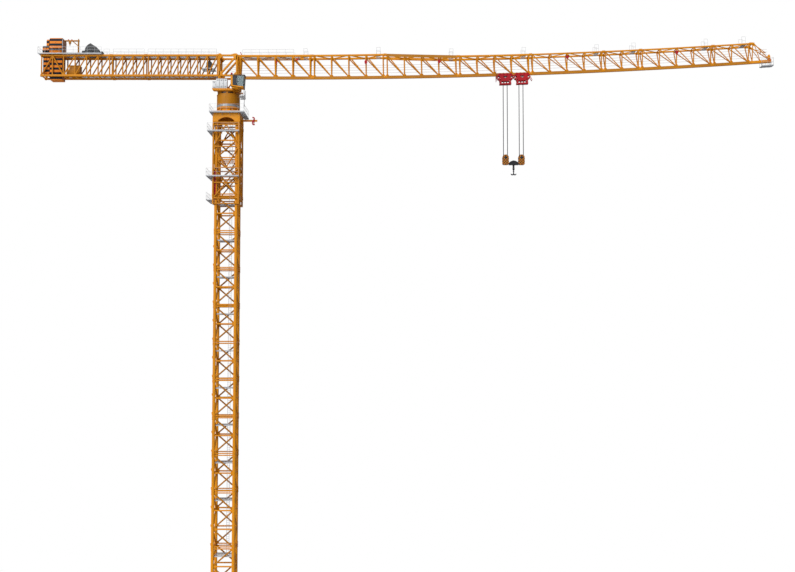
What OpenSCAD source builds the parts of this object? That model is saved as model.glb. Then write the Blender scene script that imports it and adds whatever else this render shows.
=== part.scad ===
/* [Mast] */
// Width across the outer faces of the mast's posts
mast_w = 352; // [320:2:380]
// Side of a square mast post
post_w = 36; // [30:1:40]
// Height of one of the ten upper mast sections
section_h = 568.5; // [540:0.5:600]
// Height of the three-bay section under them
lower_h = 841; // [800:1:880]
// Height of the base section
base_h = 840; // [800:1:880]
// Thickness of the mast's diagonals
mast_diag = 18; // [14:1:22]
// Thickness of the mast's cross ties
mast_tie = 22; // [18:1:26]

/* [Foundation] */
// Thickness of the plate under the foundation frame
foot_t = 12; // [8:1:20]
// Side of the plate's square corner feet
foot_w = 118; // [110:2:140]
// Height of the frame's beams
sill_h = 36; // [30:1:50]
// Radius of the anchor holes
anchor_r = 5; // [4:0.5:6]
// Spacing of the anchor holes on a foot
anchor_pitch = 84; // [80:1:96]

/* [Climbing frame] */
// Gap between the mast's posts and the climbing frame's posts
climb_gap = 8; // [6:0.5:12]
// Side of a climbing frame post
climb_post = 26; // [22:1:30]
// Height of the climbing frame
climb_h = 1280; // [1240:5:1300]
// Side of its cross ties
climb_tie = 18; // [14:1:22]
// Thickness of its braces
climb_brace = 16; // [12:1:18]
// Width of its walkways
climb_walk = 70; // [60:1:90]
// Height of the handrails
rail_h = 118; // [100:1:130]
// Thickness of the handrails
rail_d = 4; // [3:0.5:6]
// Thickness of walkway gratings
grate_t = 8; // [5:0.5:10]

/* [Slewing gear] */
// Radius of the slewing ring
ring_r = 178; // [170:1:184]
// Height of each half of the slewing ring
ring_h = 22; // [18:1:26]
// Gap between the halves of the slewing ring
ring_gap = 0.5; // [0.3:0.1:1]
// Height of the drum on the slewing ring
drum_h = 168; // [150:1:190]
// Thickness of the slewing deck
deck_t = 31; // [26:1:36]
// Width of the slewing deck across the jib
deck_w = 400; // [380:4:420]

/* [Cab] */
// Length of the cab at its roof
cab_len = 217; // [200:1:230]
// Height of the cab at its front
cab_h = 201; // [190:1:215]
// Width of the cab
cab_w = 138; // [124:2:150]
// Thickness of the cab's walls
cab_wall = 5; // [4:0.5:8]
// Thickness of its glass
glass_t = 3; // [2:0.5:4]

/* [Counter-jib] */
// Distance between the centres of its near and far chords
cj_w = 216; // [200:2:240]
// Distance between the centres of its upper and lower chords
cj_h = 317; // [300:1:330]
// Side of its chords
cj_chord = 30; // [26:1:34]
// Thickness of its diagonals
cj_diag = 16; // [12:1:19]
// Length from the mast's axis to its far end
cj_len = 2918; // [2850:2:2990]
// Length of its deck
cj_deck_len = 992; // [960:4:1010]
// Distance from its far end to the ballast
ballast_gap = 28; // [24:1:34]
// Depth of a ballast block between the chords
ballast_depth = 168; // [150:2:180]

/* [Jib] */
// Radius of the jib's upward curve
jib_arc_r = 109300; // [90000:100:130000]
// Distance from the mast's axis to the lowest point of that curve
jib_low_x = 885; // [800:5:1000]
// Distance between the centres of the two upper chords
jib_w = 194; // [180:2:210]
// Side of an upper chord
jib_top_chord = 28; // [24:1:32]
// Height of the lower chord
jib_rail_h = 42; // [36:1:48]
// Width of the lower chord's web
jib_web_w = 26; // [22:1:30]
// Width of the flange that carries the trolleys
jib_flange_w = 64; // [60:1:70]
// Thickness of that flange
jib_flange_t = 5; // [4:0.5:7]
// Thickness of the jib's diagonals
jib_diag = 14; // [11:1:18]
// Gap between the end frames of two jib sections
joint_gap = 62; // [54:1:70]

/* [Trolleys and hook] */
// Distance of the trolleys' middle from the mast's axis
trolley_x = 4470; // [4400:5:4540]
// Distance between the two trolleys' centres
trolley_pitch = 265; // [250:1:280]
// Radius of a trolley wheel
wheel_r = 15; // [13:0.5:17]
// Distance between the wheels of one trolley
wheel_pitch = 56.5; // [52:0.5:60]
// Drop from the jib's lower chord to the horns' curve centres
hook_drop = 1514; // [1400:1:1850]
// Thickness of a hoist rope
rope_d = 3.6; // [3:0.2:5]
// Thickness of the ramshorn hook's horns
horn_d = 13; // [10:0.5:15]
// Radius of the horns' curve
horn_r = 20; // [18:0.5:23]
// Radius of a hook block's sheave
sheave_r = 29.5; // [26:0.5:32]
// Half of a hook block's width
block_r = 50; // [46:1:54]

/* [Hidden] */
$fn = 32;

post_c = mast_w / 2 - post_w / 2;
base_z = foot_t + sill_h;
lower_z = base_z + base_h;
upper_z = lower_z + lower_h;
mast_top = upper_z + 10 * section_h;
support_z = mast_top;
ring_z = mast_top + 240;
drum_z = ring_z + 2 * ring_h + ring_gap;
deck_top = drum_z + drum_h + 40 + deck_t;
cj_low_z = deck_top + 223;
cj_up_z = cj_low_z + cj_h;
jib_low_z = cj_low_z - 10.5;
climb_in = mast_w / 2 + climb_gap;
climb_c = climb_in + climb_post / 2;
climb_out = climb_in + climb_post;
climb_top = mast_top;
climb_low = climb_top - climb_h;
portal_walk = mast_top + 146;
climb_ties = [0.034, 0.302, 0.557, 0.740, 0.929];
walk_places = [0.117, 0.666, 0.948];
jib_starts = [191, 1348, 2492, 3635, 4772, 5916, 6497, 7634, 8228];
jib_panels = [4, 4, 4, 4, 4, 2, 4, 2];
jib_tip_len = 295;
jib_heights = [[191, 318], [2461, 330], [3604, 282], [4300, 276], [8560, 272]];
wheel_over = -jib_rail_h / 2 + jib_flange_t + wheel_r;
hook_z = jib_low_z - hook_drop;

orange = [0.86, 0.52, 0.10];
steel = [0.62, 0.64, 0.66];
red = [0.72, 0.10, 0.16];
black = [0.12, 0.13, 0.15];
grey = [0.46, 0.47, 0.47];
pale = [0.80, 0.81, 0.82];

// A round bar of few sides from p to q
module tube(p, q, d, sides = 6) {
  v = q - p;
  len = norm(v);
  translate(p)
    rotate([0, acos(v[2] / len), atan2(v[1], v[0])])
      cylinder(h = len, d = d, $fn = sides);
}

// A square bar from p to q whose sides stay upright
module bar(p, q, w, h) {
  v = q - p;
  flat = norm([v[0], v[1]]);
  translate(p)
    rotate([0, -atan2(v[2], flat), atan2(v[1], v[0])])
      translate([0, -w / 2, -h / 2])
        cube([norm(v), w, h]);
}

// A box given by its low corner and its high corner
module block(a, b) {
  translate(a) cube(b - a);
}

// The four turns of one side of a square tower
module each_side() {
  for (turn = [0, 90, 180, 270])
    rotate([0, 0, turn]) children();
}

// Angle along the jib's curve of a distance x from the mast's axis
function arc_deg(x) = (x - jib_low_x) / jib_arc_r * 180 / PI;
// Point of the jib at distance x, side y and height h over the lower chord's centre line
function jib_pt(x, y, h) = [
  jib_low_x + (jib_arc_r - h) * sin(arc_deg(x)),
  y,
  jib_low_z + jib_arc_r - (jib_arc_r - h) * cos(arc_deg(x))
];
function truss_h(x) = lookup(x, jib_heights);
function flat_pt(p) = [p[0], p[2]];

// Places a piece on the jib's curve, upright to the lower chord
module at_jib(x) {
  translate(jib_pt(x, 0, 0)) rotate([0, -arc_deg(x), 0]) children();
}

// A strip along the jib's curve between heights low and high, w wide at side y
module jib_strip(xs, low, high, w, y) {
  under = [for (x = xs) flat_pt(jib_pt(x, 0, low))];
  over = [for (i = [len(xs) - 1 : -1 : 0]) flat_pt(jib_pt(xs[i], 0, high))];
  translate([0, y + w / 2, 0]) rotate([90, 0, 0])
    linear_extrude(w) polygon(concat(under, over));
}

// A strip that follows the upper chord, from low to high over its centre line
module top_strip(xs, low, high, w, y) {
  under = [for (x = xs) flat_pt(jib_pt(x, 0, truss_h(x) + low))];
  over = [for (i = [len(xs) - 1 : -1 : 0]) flat_pt(jib_pt(xs[i], 0, truss_h(xs[i]) + high))];
  translate([0, y + w / 2, 0]) rotate([90, 0, 0])
    linear_extrude(w) polygon(concat(under, over));
}

// A handrail: posts along a list of points, with a top rail and a knee rail
module handrail(points, h) {
  for (p = points)
    bar(p, p + [0, 0, h], rail_d, rail_d);
  for (i = [0 : len(points) - 2])
    for (k = [0.52, 1])
      bar(points[i] + [0, 0, h * k], points[i + 1] + [0, 0, h * k], rail_d, rail_d);
}

// Evenly spaced points from a to b
function steps(a, b, count) = [for (i = [0 : count]) a + (b - a) * i / count];

// Foundation

module foundation_frame() {
  out = mast_w + 116;
  hole = mast_w - 160;
  color(steel) {
    difference() {
      linear_extrude(foot_t)
        difference() {
          union() {
            square(out, center = true);
            for (x = [-1, 1])
              for (y = [-1, 1])
                translate([x * post_c, y * post_c]) square(foot_w, center = true);
          }
          square(hole, center = true);
          for (x = [-1, 1])
            for (y = [-1, 1])
              for (u = [-1, 1])
                for (v = [-1, 1])
                  translate([x * post_c + u * anchor_pitch / 2, y * post_c + v * anchor_pitch / 2])
                    circle(anchor_r);
        }
    }
    for (s = [-1, 1]) {
      block([-post_c, s * post_c - post_w / 2, foot_t], [post_c, s * post_c + post_w / 2, base_z]);
      block([s * post_c - post_w / 2, -post_c, foot_t], [s * post_c + post_w / 2, post_c, base_z]);
    }
    for (x = [-1, 1])
      for (y = [-1, 1])
        translate([x * post_c, y * post_c, foot_t])
          translate([-post_w / 2, -post_w / 2, 0])
            cube([post_w, post_w, sill_h]);
  }
}

// Mast

// One bay of the front side of the mast: a cross tie under it and a diagonal
module mast_bay(low, high, rising) {
  y = -post_c;
  a = rising ? -1 : 1;
  tube([a * post_c, y, low], [-a * post_c, y, high], mast_diag);
}

// A mast section: four posts, end ties, and bays whose diagonals zigzag from the first one
module mast_tower(low, h, bays, first) {
  bay_h = h / bays;
  end = mast_tie / 2;
  for (x = [-1, 1])
    for (y = [-1, 1])
      translate([x * post_c - post_w / 2, y * post_c - post_w / 2, low])
        cube([post_w, post_w, h]);
  for (turn = [0, 90, 180, 270])
    rotate([0, 0, turn]) {
      for (z = [low + end, low + h - end])
        bar([-post_c, -post_c, z], [post_c, -post_c, z], mast_tie, mast_tie);
      for (i = [1 : bays - 1])
        bar([-post_c, -post_c, low + i * bay_h], [post_c, -post_c, low + i * bay_h], mast_diag, mast_diag);
      for (i = [0 : bays - 1])
        mast_bay(low + i * bay_h + (i == 0 ? end : 0), low + (i + 1) * bay_h - (i == bays - 1 ? end : 0),
          (i + first) % 2 == (turn % 180 == 0 ? 0 : 1));
    }
}

// Lugs on the left posts that the climbing frame pushes up from
module mast_lugs(low, h, count) {
  for (i = [0 : count - 1])
    for (s = [-1, 1])
      translate([-mast_w / 2, s * post_c, low + (i + 0.19) * h / count])
        rotate([90, 0, 0])
          linear_extrude(14, center = true)
            polygon([[1, -18], [-14, 4], [-14, 16], [1, 22]]);
}

module mast_section(k) {
  low = upper_z + (k - 1) * section_h;
  color(orange) {
    mast_tower(low, section_h, 2, 0);
    if (low + section_h * 1.2 < climb_low + section_h)
      mast_lugs(low, section_h, 2);
  }
}

module mast_lower_section() {
  color(orange) {
    mast_tower(lower_z, lower_h, 3, 1);
    mast_lugs(lower_z, lower_h, 3);
  }
}

module mast_base_section() {
  color(orange) mast_tower(base_z, base_h, 3, 0);
}

// Rest platforms under each joint, and the ladder that runs through them
module mast_access() {
  inner = mast_w / 2 - post_w;
  x = 46;
  levels = concat([lower_z], [for (k = [0 : 8]) upper_z + k * section_h]);
  foot = levels[0] - 130;
  color(steel) {
    for (level = levels) {
      z = level - 130;
      difference() {
        block([-inner, -inner, z], [inner, inner, z + grate_t]);
        block([x - 34, -50, z - 1], [x + 34, 30, z + grate_t + 1]);
      }
      for (s = [-1, 1])
        block([-inner, s * inner - 8, z - 10], [inner, s * inner + 8, z]);
    }
    for (s = [-1, 1])
      block([x + s * 20 - 2, 24, foot], [x + s * 20 + 2, 30, support_z]);
    for (r = [foot + 20 : 30 : support_z - 10])
      block([x - 20, 25, r], [x + 20, 28, r + 3]);
  }
}

// Climbing frame

ram_x = -climb_out - 18;
ram_y = 100;
ram_top = climb_top - climb_ties[2] * climb_h - 2 * climb_tie;

module climbing_frame() {
  e = climb_tie / 2;
  levels = concat([climb_top - e], [for (k = climb_ties) climb_top - k * climb_h], [climb_low + e]);
  color(orange) {
    for (x = [-1, 1])
      for (y = [-1, 1])
        translate([x * climb_c - climb_post / 2, y * climb_c - climb_post / 2, climb_low])
          cube([climb_post, climb_post, climb_h]);
    each_side() {
      for (z = levels)
        bar([-climb_c, -climb_c, z], [climb_c, -climb_c, z], climb_tie, climb_tie);
      for (s = [-1, 1]) {
        tube([s * climb_c, -climb_c, levels[2]], [0, -climb_c, levels[1]], climb_brace);
        tube([s * climb_c, -climb_c, levels[2]], [0, -climb_c, levels[3]], climb_brace);
        tube([s * climb_c, -climb_c, levels[3]], [-s * climb_c, -climb_c, levels[5]], climb_brace);
        for (k = [2, 5])
          block([s * post_c - 8, -climb_c + e, levels[k] - e], [s * post_c + 8, -mast_w / 2, levels[k] + e]);
      }
    }
    block([ram_x - 8, ram_y - 12, ram_top], [-climb_c, ram_y + 12, levels[3] + e]);
  }
}

// One walkway along the front and back along a side, side being -1 for left and 1 for right
module side_walk(z, side, out, back) {
  e = rail_d / 2;
  inner = side * climb_out;
  outer = side * (climb_out + out);
  block([min(inner, outer), -climb_out - climb_walk, z - grate_t], [max(inner, outer), back, z]);
  handrail(steps([outer - side * e, -climb_out - climb_walk + e, z], [outer - side * e, back - e, z], 5), rail_h);
}

module front_walk(z, left, right) {
  e = rail_d / 2;
  y = -climb_out - climb_walk;
  block([-climb_out, y, z - grate_t], [climb_out, -climb_out, z]);
  handrail(steps([-climb_out - left + e, y + e, z], [climb_out + right - e, y + e, z], 6), rail_h);
}

module climbing_walkways() {
  levels = [for (k = walk_places) climb_top - k * climb_h];
  outs = [for (k = [3, 14, 22]) climb_walk + k];
  color(steel) {
    for (i = [0, 1]) {
      front_walk(levels[i], outs[i], 0);
      difference() {
        side_walk(levels[i], -1, outs[i], climb_out);
        block([ram_x - 18, ram_y - 18, levels[1] - grate_t - 1], [1 - climb_out, ram_y + 18, levels[1] + 1]);
      }
    }
    block([-climb_out - outs[2], -climb_out, levels[2] - grate_t], [-climb_out, climb_out, levels[2]]);
    handrail(steps([-climb_out - outs[2] + 2, -climb_out + 2, levels[2]],
      [-climb_out - outs[2] + 2, climb_out - 2, levels[2]], 5), rail_h);
    front_walk(portal_walk, climb_walk - 25, climb_walk);
    side_walk(portal_walk, -1, climb_walk - 25, climb_out - 100);
    side_walk(portal_walk, 1, climb_walk, climb_out + 100);
  }
}

// Cylinder on the left side: it hangs from the frame's bracket, and its foot bears on the mast's rear left post
module climbing_cylinder() {
  low = climb_top - walk_places[2] * climb_h;
  foot = 14;
  rod = 146;
  color(red) {
    block([ram_x - 16, ram_y - 20, low], [-mast_w / 2, mast_w / 2 - 32, low + foot]);
    translate([ram_x, ram_y, low + foot]) cylinder(h = rod, r = 8);
    translate([ram_x, ram_y, low + foot + rod]) cylinder(h = ram_top - low - foot - rod, r = 14);
    for (z = [low + foot + rod, ram_top - 12])
      translate([ram_x, ram_y, z]) cylinder(h = 12, r = 16);
  }
}

mono_z = climb_top + 40;
mono_end = 455;

// Beam that hangs inside the portal and runs out through its right arch
module monorail_beam() {
  color(orange) {
    block([-168, -9, mono_z], [mono_end, 9, mono_z + 4]);
    block([-168, -2, mono_z + 4], [mono_end, 2, mono_z + 24]);
    block([-168, -9, mono_z + 24], [mono_end, 9, mono_z + 28]);
    for (x = [-160, 160])
      block([x - 6, -6, mono_z + 28], [x + 6, 6, ring_z - 80]);
  }
}

// Hoist on the beam: two S-shaped plates that reach over and under it, with rollers on its lower flange
module monorail_hoist() {
  x = 393;
  roller_z = mono_z + 4 + 5 + 0.3;
  color(red) {
    for (s = [-1, 1]) {
      translate([x, s * 13, mono_z]) rotate([90, 0, 0])
        linear_extrude(4, center = true) {
          translate([-19, -14]) square([38, 28]);
          polygon([[-18, 64], [-14, 74], [6, 74], [20, 64], [24, 46], [20, 30], [6, 10], [-4, -6], [-5, -20],
            [4, -30], [18, -30], [24, -44], [12, -54], [-6, -52], [-18, -42], [-21, -24], [-18, -6], [-6, 12],
            [4, 28], [8, 42], [4, 54], [-10, 56]]);
        }
      for (k = [-1, 1])
        translate([x + k * 10, s * 7.5, roller_z]) rotate([90, 0, 0]) cylinder(h = 9, r = 5, center = true);
    }
    for (pin = [[8, 64], [-10, -34], [12, -42]])
      translate([x + pin[0], 0, mono_z + pin[1]]) rotate([90, 0, 0]) cylinder(h = 28, r = 5, center = true);
  }
}

// Slewing gear

module ring_support() {
  top = ring_z - 80;
  bore = ring_r - 34;
  color(orange) {
    for (x = [-1, 1])
      for (y = [-1, 1]) {
        translate([x * climb_c, y * climb_c, (mast_top + top) / 2])
          cube([climb_post, climb_post, top - mast_top], center = true);
        translate([x * post_c, y * post_c, (mast_top + top) / 2])
          cube([post_w, post_w, top - mast_top], center = true);
      }
    each_side()
      difference() {
        block([-climb_in, -climb_out, mast_top], [climb_in, -climb_in, top]);
        translate([0, -climb_in + 1, mast_top - 1]) rotate([90, 0, 0])
          linear_extrude(climb_post + 2) {
            translate([-126, 0]) square([252, 30]);
            intersection() {
              translate([0, -104]) circle(175, $fn = 64);
              translate([-126, 0]) square([252, 80]);
            }
          }
      }
    difference() {
      block([-climb_out, -climb_out, top], [climb_out, climb_out, top + 12]);
      translate([0, 0, top - 1]) cylinder(h = 14, r = bore);
    }
    translate([0, 0, top + 12])
      difference() {
        union() {
          cylinder(h = 68, r = ring_r - 12, $fn = 48);
          translate([0, 0, 50]) cylinder(h = 18, r = ring_r, $fn = 48);
          for (turn = [15 : 45 : 330])
            rotate([0, 0, turn]) translate([ring_r - 14, -3, 0])
              rotate([90, 0, 0]) translate([0, 0, -6])
                linear_extrude(6) polygon([[0, 0], [44, 0], [12, 50], [0, 50]]);
        }
        translate([0, 0, -1]) cylinder(h = 70, r = bore, $fn = 48);
      }
  }
}

module slewing_ring_lower() {
  color(steel)
    translate([0, 0, ring_z])
      difference() {
        cylinder(h = ring_h, r = ring_r, $fn = 48);
        translate([0, 0, -1]) cylinder(h = ring_h + 2, r = ring_r - 34, $fn = 48);
      }
}

module slewing_ring_upper() {
  color(steel)
    translate([0, 0, ring_z + ring_h + ring_gap])
      difference() {
        cylinder(h = ring_h, r = ring_r, $fn = 48);
        translate([0, 0, -1]) cylinder(h = ring_h + 2, r = ring_r - 34, $fn = 48);
      }
}

// Drum between the slewing ring and the deck, with its neck
module slewing_drum() {
  wall = 12;
  neck_out = ring_r - 10;
  neck_in = ring_r - 30;
  color(orange)
    translate([0, 0, drum_z])
      rotate_extrude($fn = 48)
        polygon([[ring_r - wall, 0], [ring_r, 0], [ring_r, drum_h], [neck_out, drum_h],
          [neck_out, drum_h + 40], [neck_in, drum_h + 40], [neck_in, drum_h - wall], [ring_r - wall, drum_h - wall]]);
}

deck_left = -226;
deck_right = 221;
deck_half = deck_w / 2;

// Deck whose left end is rounded below
module slewing_deck() {
  r = deck_t - 4;
  color(orange)
    translate([0, 0, deck_top - deck_t])
      rotate([90, 0, 0])
        linear_extrude(deck_w, center = true) {
          translate([deck_left + r, 0]) square([deck_right - deck_left - r, deck_t]);
          intersection() {
            translate([deck_left, 0]) square([2 * r, deck_t]);
            translate([deck_left + r, r]) circle(r);
          }
        }
}

// Landing on the right of the drum that hangs from the deck, with rails and a ladder
module drum_landing() {
  z = drum_z + 122;
  x = [192, 262];
  y = [-150, 61];
  e = rail_d / 2;
  low = z - 132;
  color(steel) {
    block([x[0], y[0], z], [x[1], y[1], z + grate_t]);
    for (t = [y[0] + 14, y[1] - 24])
      block([deck_right - 10, t, z + grate_t], [deck_right, t + 10, deck_top - deck_t]);
    handrail(steps([x[1] - e, y[0] + e, z + grate_t], [x[1] - e, y[1] - e, z + grate_t], 3), rail_h);
    for (s = [-1, 1])
      block([x[1] - 16, s * 18 - 2, low], [x[1] - 12, s * 18 + 2, z]);
    for (r = [low + 10 : 30 : z - 10])
      block([x[1] - 16, -18, r], [x[1] - 13, 18, r + 3]);
  }
}

// Row of cabinets on the deck's front left, with a base rail and roofs that stand proud
module switch_cabinets() {
  back = -cj_w / 2 - cj_chord / 2 - 2;
  color(pale) {
    for (c = [[-166, -110, 148], [-109, -52, 148], [-51, 8, 148]]) {
      block([c[0], -deck_half + 4, deck_top], [c[1], back, deck_top + c[2]]);
      block([c[0] - 0.5, -deck_half + 1, deck_top + c[2]], [c[1] + 0.5, back, deck_top + c[2] + 5]);
    }
    block([-222, -deck_half + 10, deck_top], [-167, back - 6, deck_top + 108]);
    block([-222, -deck_half + 7, deck_top + 108], [-167, back - 6, deck_top + 112]);
  }
}

cab_x = 80;
cab_low = deck_top - deck_t + 1;
cab_y = -deck_half - 6 - cab_w;
cab_rise = 28;
cab_back = 10;
cab_front = 16;

// Side outline of the cab, all of it drawn in by t
function cab_outline(t) = [
  [cab_x + cab_back + t, cab_low + cab_rise + t],
  [cab_x + cab_len - cab_front - t, cab_low + t],
  [cab_x + cab_len - t, cab_low + cab_h - t],
  [cab_x + t, cab_low + cab_h - t]
];

// Outline of a side window, drawn in by t
function cab_window(t) = [
  [cab_x + 102 + t, cab_low + 38 + t],
  [cab_x + cab_len - 22 - t, cab_low + 22 + t],
  [cab_x + cab_len - 12 - t, cab_low + cab_h - 14 - t],
  [cab_x + 102 + t, cab_low + cab_h - 14 - t]
];

// Outer side of the windscreen at a height over the cab's floor
function screen_x(h) = cab_x + cab_len - cab_front * (1 - h / cab_h) - 1;

// A sheet across the cab with a side outline, from y low to y high
module across(outline, low, high) {
  translate([0, high, 0]) rotate([90, 0, 0]) linear_extrude(high - low) polygon(outline);
}

module cab_bracket() {
  color(orange) {
    for (x = [104, 194])
      block([x, cab_y + 14, cab_low - 21], [x + 22, -deck_half + 56, cab_low - 1]);
    block([104, -deck_half - 16, cab_low - 21], [216, -deck_half, cab_low - 1]);
  }
}

module cab_shell() {
  color(orange)
    difference() {
      union() {
        across(cab_outline(0), cab_y, cab_y + cab_w);
        block([cab_x - 6, cab_y - 4, cab_low + cab_h - 1], [cab_x + cab_len + 6, cab_y + cab_w + 4, cab_low + cab_h + 6]);
        block([cab_x + cab_back + 14, cab_y + 14, cab_low - 1], [cab_x + 140, cab_y + cab_w, cab_low + cab_rise]);
      }
      across(cab_outline(cab_wall), cab_y + cab_wall, cab_y + cab_w - cab_wall);
      across(cab_window(0), cab_y - 1, cab_y + cab_w + 1);
      translate([cab_wall * 2 + 4, 0, 0])
        across(cab_outline(cab_wall * 2), cab_y + cab_wall * 2, cab_y + cab_w - cab_wall * 2);
    }
}

// Side panes in their openings and a slanted windscreen
module cab_glass() {
  gap = 0.3;
  frame = cab_wall * 2 + gap;
  sill = frame + cab_wall * 0.4;
  color([0.45, 0.62, 0.64]) {
    for (y = [cab_y + 1, cab_y + cab_w - 1 - glass_t])
      across(cab_window(gap), y, y + glass_t);
    across([
        [screen_x(sill) - glass_t, cab_low + sill],
        [screen_x(sill), cab_low + sill],
        [screen_x(cab_h - frame), cab_low + cab_h - frame],
        [screen_x(cab_h - frame) - glass_t, cab_low + cab_h - frame]
      ], cab_y + frame, cab_y + cab_w - frame);
  }
}

// Head

head_left = -132;
head_right = 144;

module head_frame() {
  y = cj_w / 2;
  c = cj_chord;
  color(orange) {
    for (s = [-1, 1]) {
      for (x = [head_left, head_right])
        block([x - c / 2, s * y - c / 2, deck_top], [x + c / 2, s * y + c / 2, cj_up_z + c / 2]);
      for (z = [cj_low_z, cj_up_z])
        block([head_left, s * y - c / 2, z - c / 2], [head_right, s * y + c / 2, z + c / 2]);
      for (x = [head_left, head_right - 20])
        translate([x, s * y, cj_up_z + c / 2])
          rotate([90, 0, 0])
            linear_extrude(c, center = true) polygon([[-c / 2, 0], [34, 0], [16, 15], [9 - c / 2, 15]]);
      bar([head_left, s * y, cj_low_z], [head_right, s * y, cj_up_z], 20, 22);
      translate([head_right, s * y + 3, cj_up_z])
        rotate([90, 0, 0]) linear_extrude(6) polygon([[0, 0], [-92, -4], [-66, -62], [0, -100]]);
      for (x = [head_left, head_right])
        tube([x, s * y, cj_low_z], [6, s * y, deck_top + 12], 18);
      block([-18, s * y - 12, deck_top], [30, s * y + 12, deck_top + 24]);
    }
    for (x = [head_left, head_right])
      for (z = [cj_low_z, cj_up_z])
        block([x - c / 2, -y, z - c / 2], [x + c / 2, y, z + c / 2]);
  }
}

// Jib

// The stations of section k, from its inner joint face to its outer one
function jib_nodes(k) = steps(jib_starts[k], jib_starts[k + 1] - joint_gap, jib_panels[k]);
head_face = head_right + cj_chord / 2;
function jib_face_in(k) = k == 0 ? head_face + 4 : jib_starts[k] - joint_gap / 2;
function jib_face_out(k) = jib_starts[k + 1] - joint_gap / 2;

// Chords, joint knuckles and bracing of a length of jib
module jib_truss(xs, face_in, face_out, d) {
  y = jib_w / 2;
  all = concat([face_in], xs, [face_out]);
  c = jib_top_chord / 2;
  jib_strip(all, -jib_rail_h / 2, jib_rail_h / 2, jib_web_w, 0);
  jib_strip(all, -jib_rail_h / 2, -jib_rail_h / 2 + jib_flange_t, jib_flange_w, 0);
  for (s = [-1, 1]) {
    top_strip(all, -c, c, jib_top_chord, s * y);
    top_strip([face_in, face_in + 22], -c - 8, c + 8, jib_top_chord + 8, s * y);
    top_strip([face_out - 22, face_out], -c - 8, c + 8, jib_top_chord + 8, s * y);
  }
  for (i = [0 : len(xs) - 1]) {
    x = xs[i];
    h = truss_h(x);
    for (s = [-1, 1])
      tube(jib_pt(x, 0, 0), jib_pt(x, s * y, h), d);
    bar(jib_pt(x, -y, h), jib_pt(x, y, h), d, d);
  }
  for (i = [0 : len(xs) - 2])
    for (s = [-1, 1]) {
      tube(jib_pt(xs[i], s * y, truss_h(xs[i])), jib_pt(xs[i + 1], 0, 0), d);
      if ((i % 2 == 0 ? -1 : 1) == s)
        bar(jib_pt(xs[i], s * y, truss_h(xs[i])), jib_pt(xs[i + 1], -s * y, truss_h(xs[i + 1])), d, d);
    }
}

module jib_section(k) {
  if (k == 1)
    color(orange) {
      c = jib_top_chord / 2 + 8;
      z = jib_pt(head_face, 0, truss_h(head_face))[2];
      low = jib_pt(head_face, 0, 0)[2];
      for (s = [-1, 1])
        block([head_face, s * jib_w / 2 - c, z - c], [head_face + 22, s * jib_w / 2 + c, z + c]);
      block([head_face, -jib_web_w / 2, low - 20], [head_face + 22, jib_web_w / 2, low + 20]);
    }
  color(orange)
    jib_truss(jib_nodes(k - 1), jib_face_in(k - 1), jib_face_out(k - 1), k == 1 ? jib_diag + 4 : jib_diag);
}

module jib_tip() {
  x0 = jib_starts[8];
  x1 = x0 + jib_tip_len;
  face = x0 - joint_gap / 2;
  y = jib_w / 2;
  c = jib_top_chord / 2;
  h = truss_h(x0);
  color(orange) {
    jib_strip([face, x0, x1], -jib_rail_h / 2, jib_rail_h / 2, jib_web_w, 0);
    jib_strip([face, x0, x1], -jib_rail_h / 2, -jib_rail_h / 2 + jib_flange_t, jib_flange_w, 0);
    for (s = [-1, 1]) {
      top_strip([face, x0 + 24], -c, c, jib_top_chord, s * y);
      top_strip([face, face + 22], -c - 8, c + 8, jib_top_chord + 8, s * y);
      tube(jib_pt(x0, 0, 0), jib_pt(x0, s * y, h), jib_diag);
      tube(jib_pt(x0 + 20, s * y, h), jib_pt(x1 - 10, 0, 10), 16);
      tube(jib_pt(x0 + 20, s * y, h), jib_pt(x0 + 130, 0, 0), 12);
      tube(jib_pt(x0 + 76, s * y * 0.8, h * 0.8), jib_pt(x0 + 226, 0, h / 2), 10);
    }
    bar(jib_pt(x0, -y, h), jib_pt(x0, y, h), jib_diag, jib_diag);
    bar(jib_pt(x0 + 142, -44, h / 2 + 8), jib_pt(x0 + 142, 44, h / 2 + 8), jib_diag, jib_diag);
    at_jib(x1 - 30) {
      block([-20, -12, 15], [20, 12, 104]);
      translate([4, 0, 18]) rotate([90, 0, 0]) cylinder(h = 36, r = 26, center = true);
    }
  }
}

// Platform under the jib's end, on hangers from the lower chord
module tip_platform() {
  x = jib_starts[8] + jib_tip_len;
  low = -jib_rail_h / 2;
  color(steel)
    at_jib(x - 82) {
      block([-88, -54, low - 64], [102, 54, low - 56]);
      for (t = [-60, 60])
        block([t - 4, -jib_flange_w / 2, low - 56], [t + 4, jib_flange_w / 2, low - 0.3]);
      for (s = [-1, 1])
        handrail([[-86, s * 51, low - 56], [8, s * 51, low - 56], [100, s * 51, low - 56]], rail_h);
    }
}

// A railed basket between the upper chords at the outer end of section k
module jib_basket(k) {
  x = jib_starts[k + 1] - joint_gap - 74;
  half = (jib_w - jib_top_chord) / 2 - 0.3;
  low = -jib_diag / 2 - 2 - grate_t - (k == 0 ? 2 : 0);
  e = rail_d / 2;
  side = half - rail_d * 0.6;
  at_jib(x)
    translate([0, 0, truss_h(x) + low]) {
      block([-31, -half, 0], [31, half, grate_t]);
      for (s = [-1, 1])
        handrail([[-31 + e, s * side, grate_t], [31 - e, s * side, grate_t]], rail_h + 14);
    }
}

// Walkway of the first section, its railing on the near chord, and a basket at each joint
module jib_walkways() {
  under = (jib_diag + 4) / 2;
  nodes = jib_nodes(0);
  over = jib_top_chord / 2 + 0.3;
  color(steel) {
    top_strip(concat([206], [for (i = [1 : 3]) nodes[i]], [1120]), -under - 0.3 - grate_t, -under - 0.3, 90, 0);
    for (s = [-1, 1])
      handrail([for (i = [0 : 6]) jib_pt(226 + i * 134, s * jib_w / 2, truss_h(226 + i * 134) + over)], rail_h);
    for (k = [0 : 7])
      jib_basket(k);
  }
}

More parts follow.
